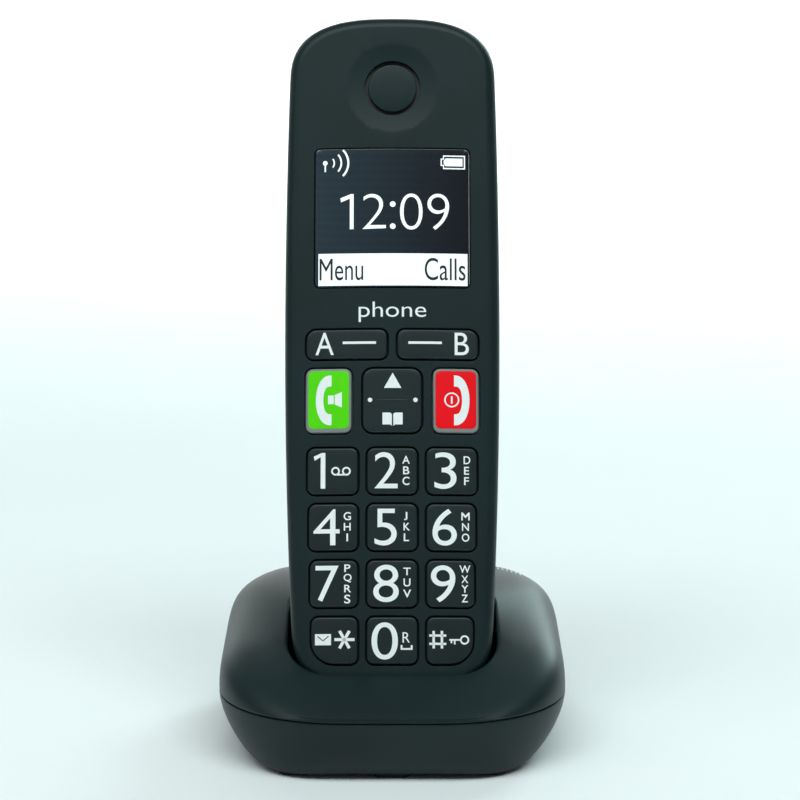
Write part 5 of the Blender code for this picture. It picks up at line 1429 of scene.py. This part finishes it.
# sockets with a latch notch and a comb of gold wires
for side, word in ((-1, "line"), (1, "power")):
    x = side * socket["x"]
    body = block(word + "_jack", (x - socket["width"] / 2, socket["mouth"] - socket["depth"],
                                  socket["low"]),
                 (x + socket["width"] / 2, socket["mouth"], socket["low"] + socket["height"]),
                 0.25, 2)
    hole = block("cutHole", (x - socket["holeWidth"] / 2, socket["mouth"] - 11.4,
                             socketMid - socket["holeHeight"] / 2),
                 (x + socket["holeWidth"] / 2, 60, socketMid + socket["holeHeight"] / 2))
    notch = block("cutNotch", (x - 2.0, socket["mouth"] - 8.0,
                               socketMid - socket["holeHeight"] / 2 - 1.1),
                  (x + 2.0, 60, socketMid))
    combined(combined(body, hole), notch)
    finished(body, basePlace, "base", blackNylon, [word + "_socket"])
    wires = []
    number = 6 if word == "line" else 4
    for k in range(number):
        wx = x + (k - (number - 1) / 2) * 1.02
        top = socketMid + socket["holeHeight"] / 2
        path = [(socket["mouth"] - 11.0, top - 0.3), (socket["mouth"] - 3.2, top - 0.3),
                (socket["mouth"] - 2.6, top - 0.6), (socket["mouth"] - 3.2, top - 1.0),
                (socket["mouth"] - 9.0, top - 3.4)]
        outline = stroke(path, 0.3)
        wires.append(loft("wire", [[(wx + dx, y, z) for y, z in outline]
                                   for dx in (-0.16, 0.16)]))
    finished(joined(word + "_wires", wires), basePlace, "base", goldPlate)
print("stage: sockets and page key")

# what stays hidden behind the shells keeps its node and gets its real finish
for name, material in (("lcd_module", blackNylon), ("receiver_capsule", zincSteel),
                       ("microphone", zincSteel), ("keypad_mat", siliconeSheet),
                       ("handset_circuit_board", laminate), ("loudspeaker", blackNylon),
                       ("base_circuit_board", laminate)):
    node = frame["nodes"][name]
    for number in range(len(node.material_slots)):
        node.material_slots[number].material = material

# studio: a pale sweep, soft boxes above, at the left and behind, and one for the wall
studio = {"span": 6.0, "front": -3.0, "bendFrom": 1.0, "bend": 1.0, "top": 5.0}
sweepLine = [(studio["front"], 0.0), (studio["bendFrom"], 0.0)]
sweepLine += [(studio["bendFrom"] + studio["bend"] * math.sin(a),
               studio["bend"] * (1.0 - math.cos(a)))
              for a in (0.5 * math.pi * k / 16 for k in range(1, 17))]
sweepLine.append((studio["bendFrom"] + studio["bend"], studio["top"]))
sweep = [[(side * studio["span"], y, z) for side in (-1, 1)] for y, z in sweepLine]
work = bmesh.new()
rows = [[work.verts.new(p) for p in row] for row in sweep]
for a, c in zip(rows, rows[1:]):
    work.faces.new((a[0], a[1], c[1], c[0]))
mesh = bpy.data.meshes.new("backdrop")
work.to_mesh(mesh)
work.free()
mesh.shade_smooth()
backdrop = addObject("backdrop", mesh)
paper, tree, shader, place = newMaterial("paperSweep", {"Roughness": 0.9, "IOR": 1.3})
mottled(tree, place, shader, "#F4F6F6", "#FAFBFB", 3.0)
mesh.materials.append(paper)


def softBox(name, spot, aim, width, height, power, colour="#FFFFFF"):
    # places and sizes in metres, power in watts
    light = bpy.data.lights.new(name, "AREA")
    light.shape = "RECTANGLE"
    light.size, light.size_y = width, height
    light.energy = power
    light.color = linear(colour)[:3]
    lamp = bpy.data.objects.new(name, light)
    scene.collection.objects.link(lamp)
    lamp.location = spot
    lamp.visible_camera = False
    lamp.rotation_euler = (Vector(aim) - Vector(spot)).to_track_quat("-Z", "Y").to_euler()


softBox("overhead", (0.0, -0.85, 1.75), (0, -0.05, 0.0), 2.4, 0.9, 34, "#E8F6F6")
softBox("keyLeft", (-1.5, -0.7, 1.1), (0, 0, 0.08), 0.4, 0.9, 2.2)
softBox("rimRight", (0.75, 1.15, 0.75), (0, 0, 0.04), 0.5, 0.7, 8.5, "#CBEBEA")
softBox("rimLeft", (-0.9, 1.15, 0.75), (0, 0, 0.04), 0.4, 0.6, 1.0, "#CBEBEA")
softBox("wall", (0.0, 1.2, 1.1), (0, 2.2, 0.3), 3.0, 0.6, 24)
world = bpy.data.worlds.new("room")
world.use_nodes = True
air = world.node_tree.nodes["Background"].inputs
air["Color"].default_value = linear("#DCE4E6")
air["Strength"].default_value = 0.16
scene.world = world
scene.view_settings.view_transform = "Standard"

view = {"aim": (0.0019, -0.0088, 0.0858), "rise": 11.0, "away": 0.7, "lens": 128.5}
camera = bpy.data.objects.new("camera", bpy.data.cameras.new("camera"))
scene.collection.objects.link(camera)
rise = math.radians(view["rise"])
camera.location = (Vector(view["aim"])
                   + Vector((0, -math.cos(rise), math.sin(rise))) * view["away"])
camera.rotation_euler = (Vector(view["aim"])
                         - camera.location).to_track_quat("-Z", "Y").to_euler()
camera.data.lens = view["lens"]
camera.data.sensor_width = 36
camera.data.clip_start, camera.data.clip_end = 0.01, 20
scene.camera = camera
print("stage: studio and camera")
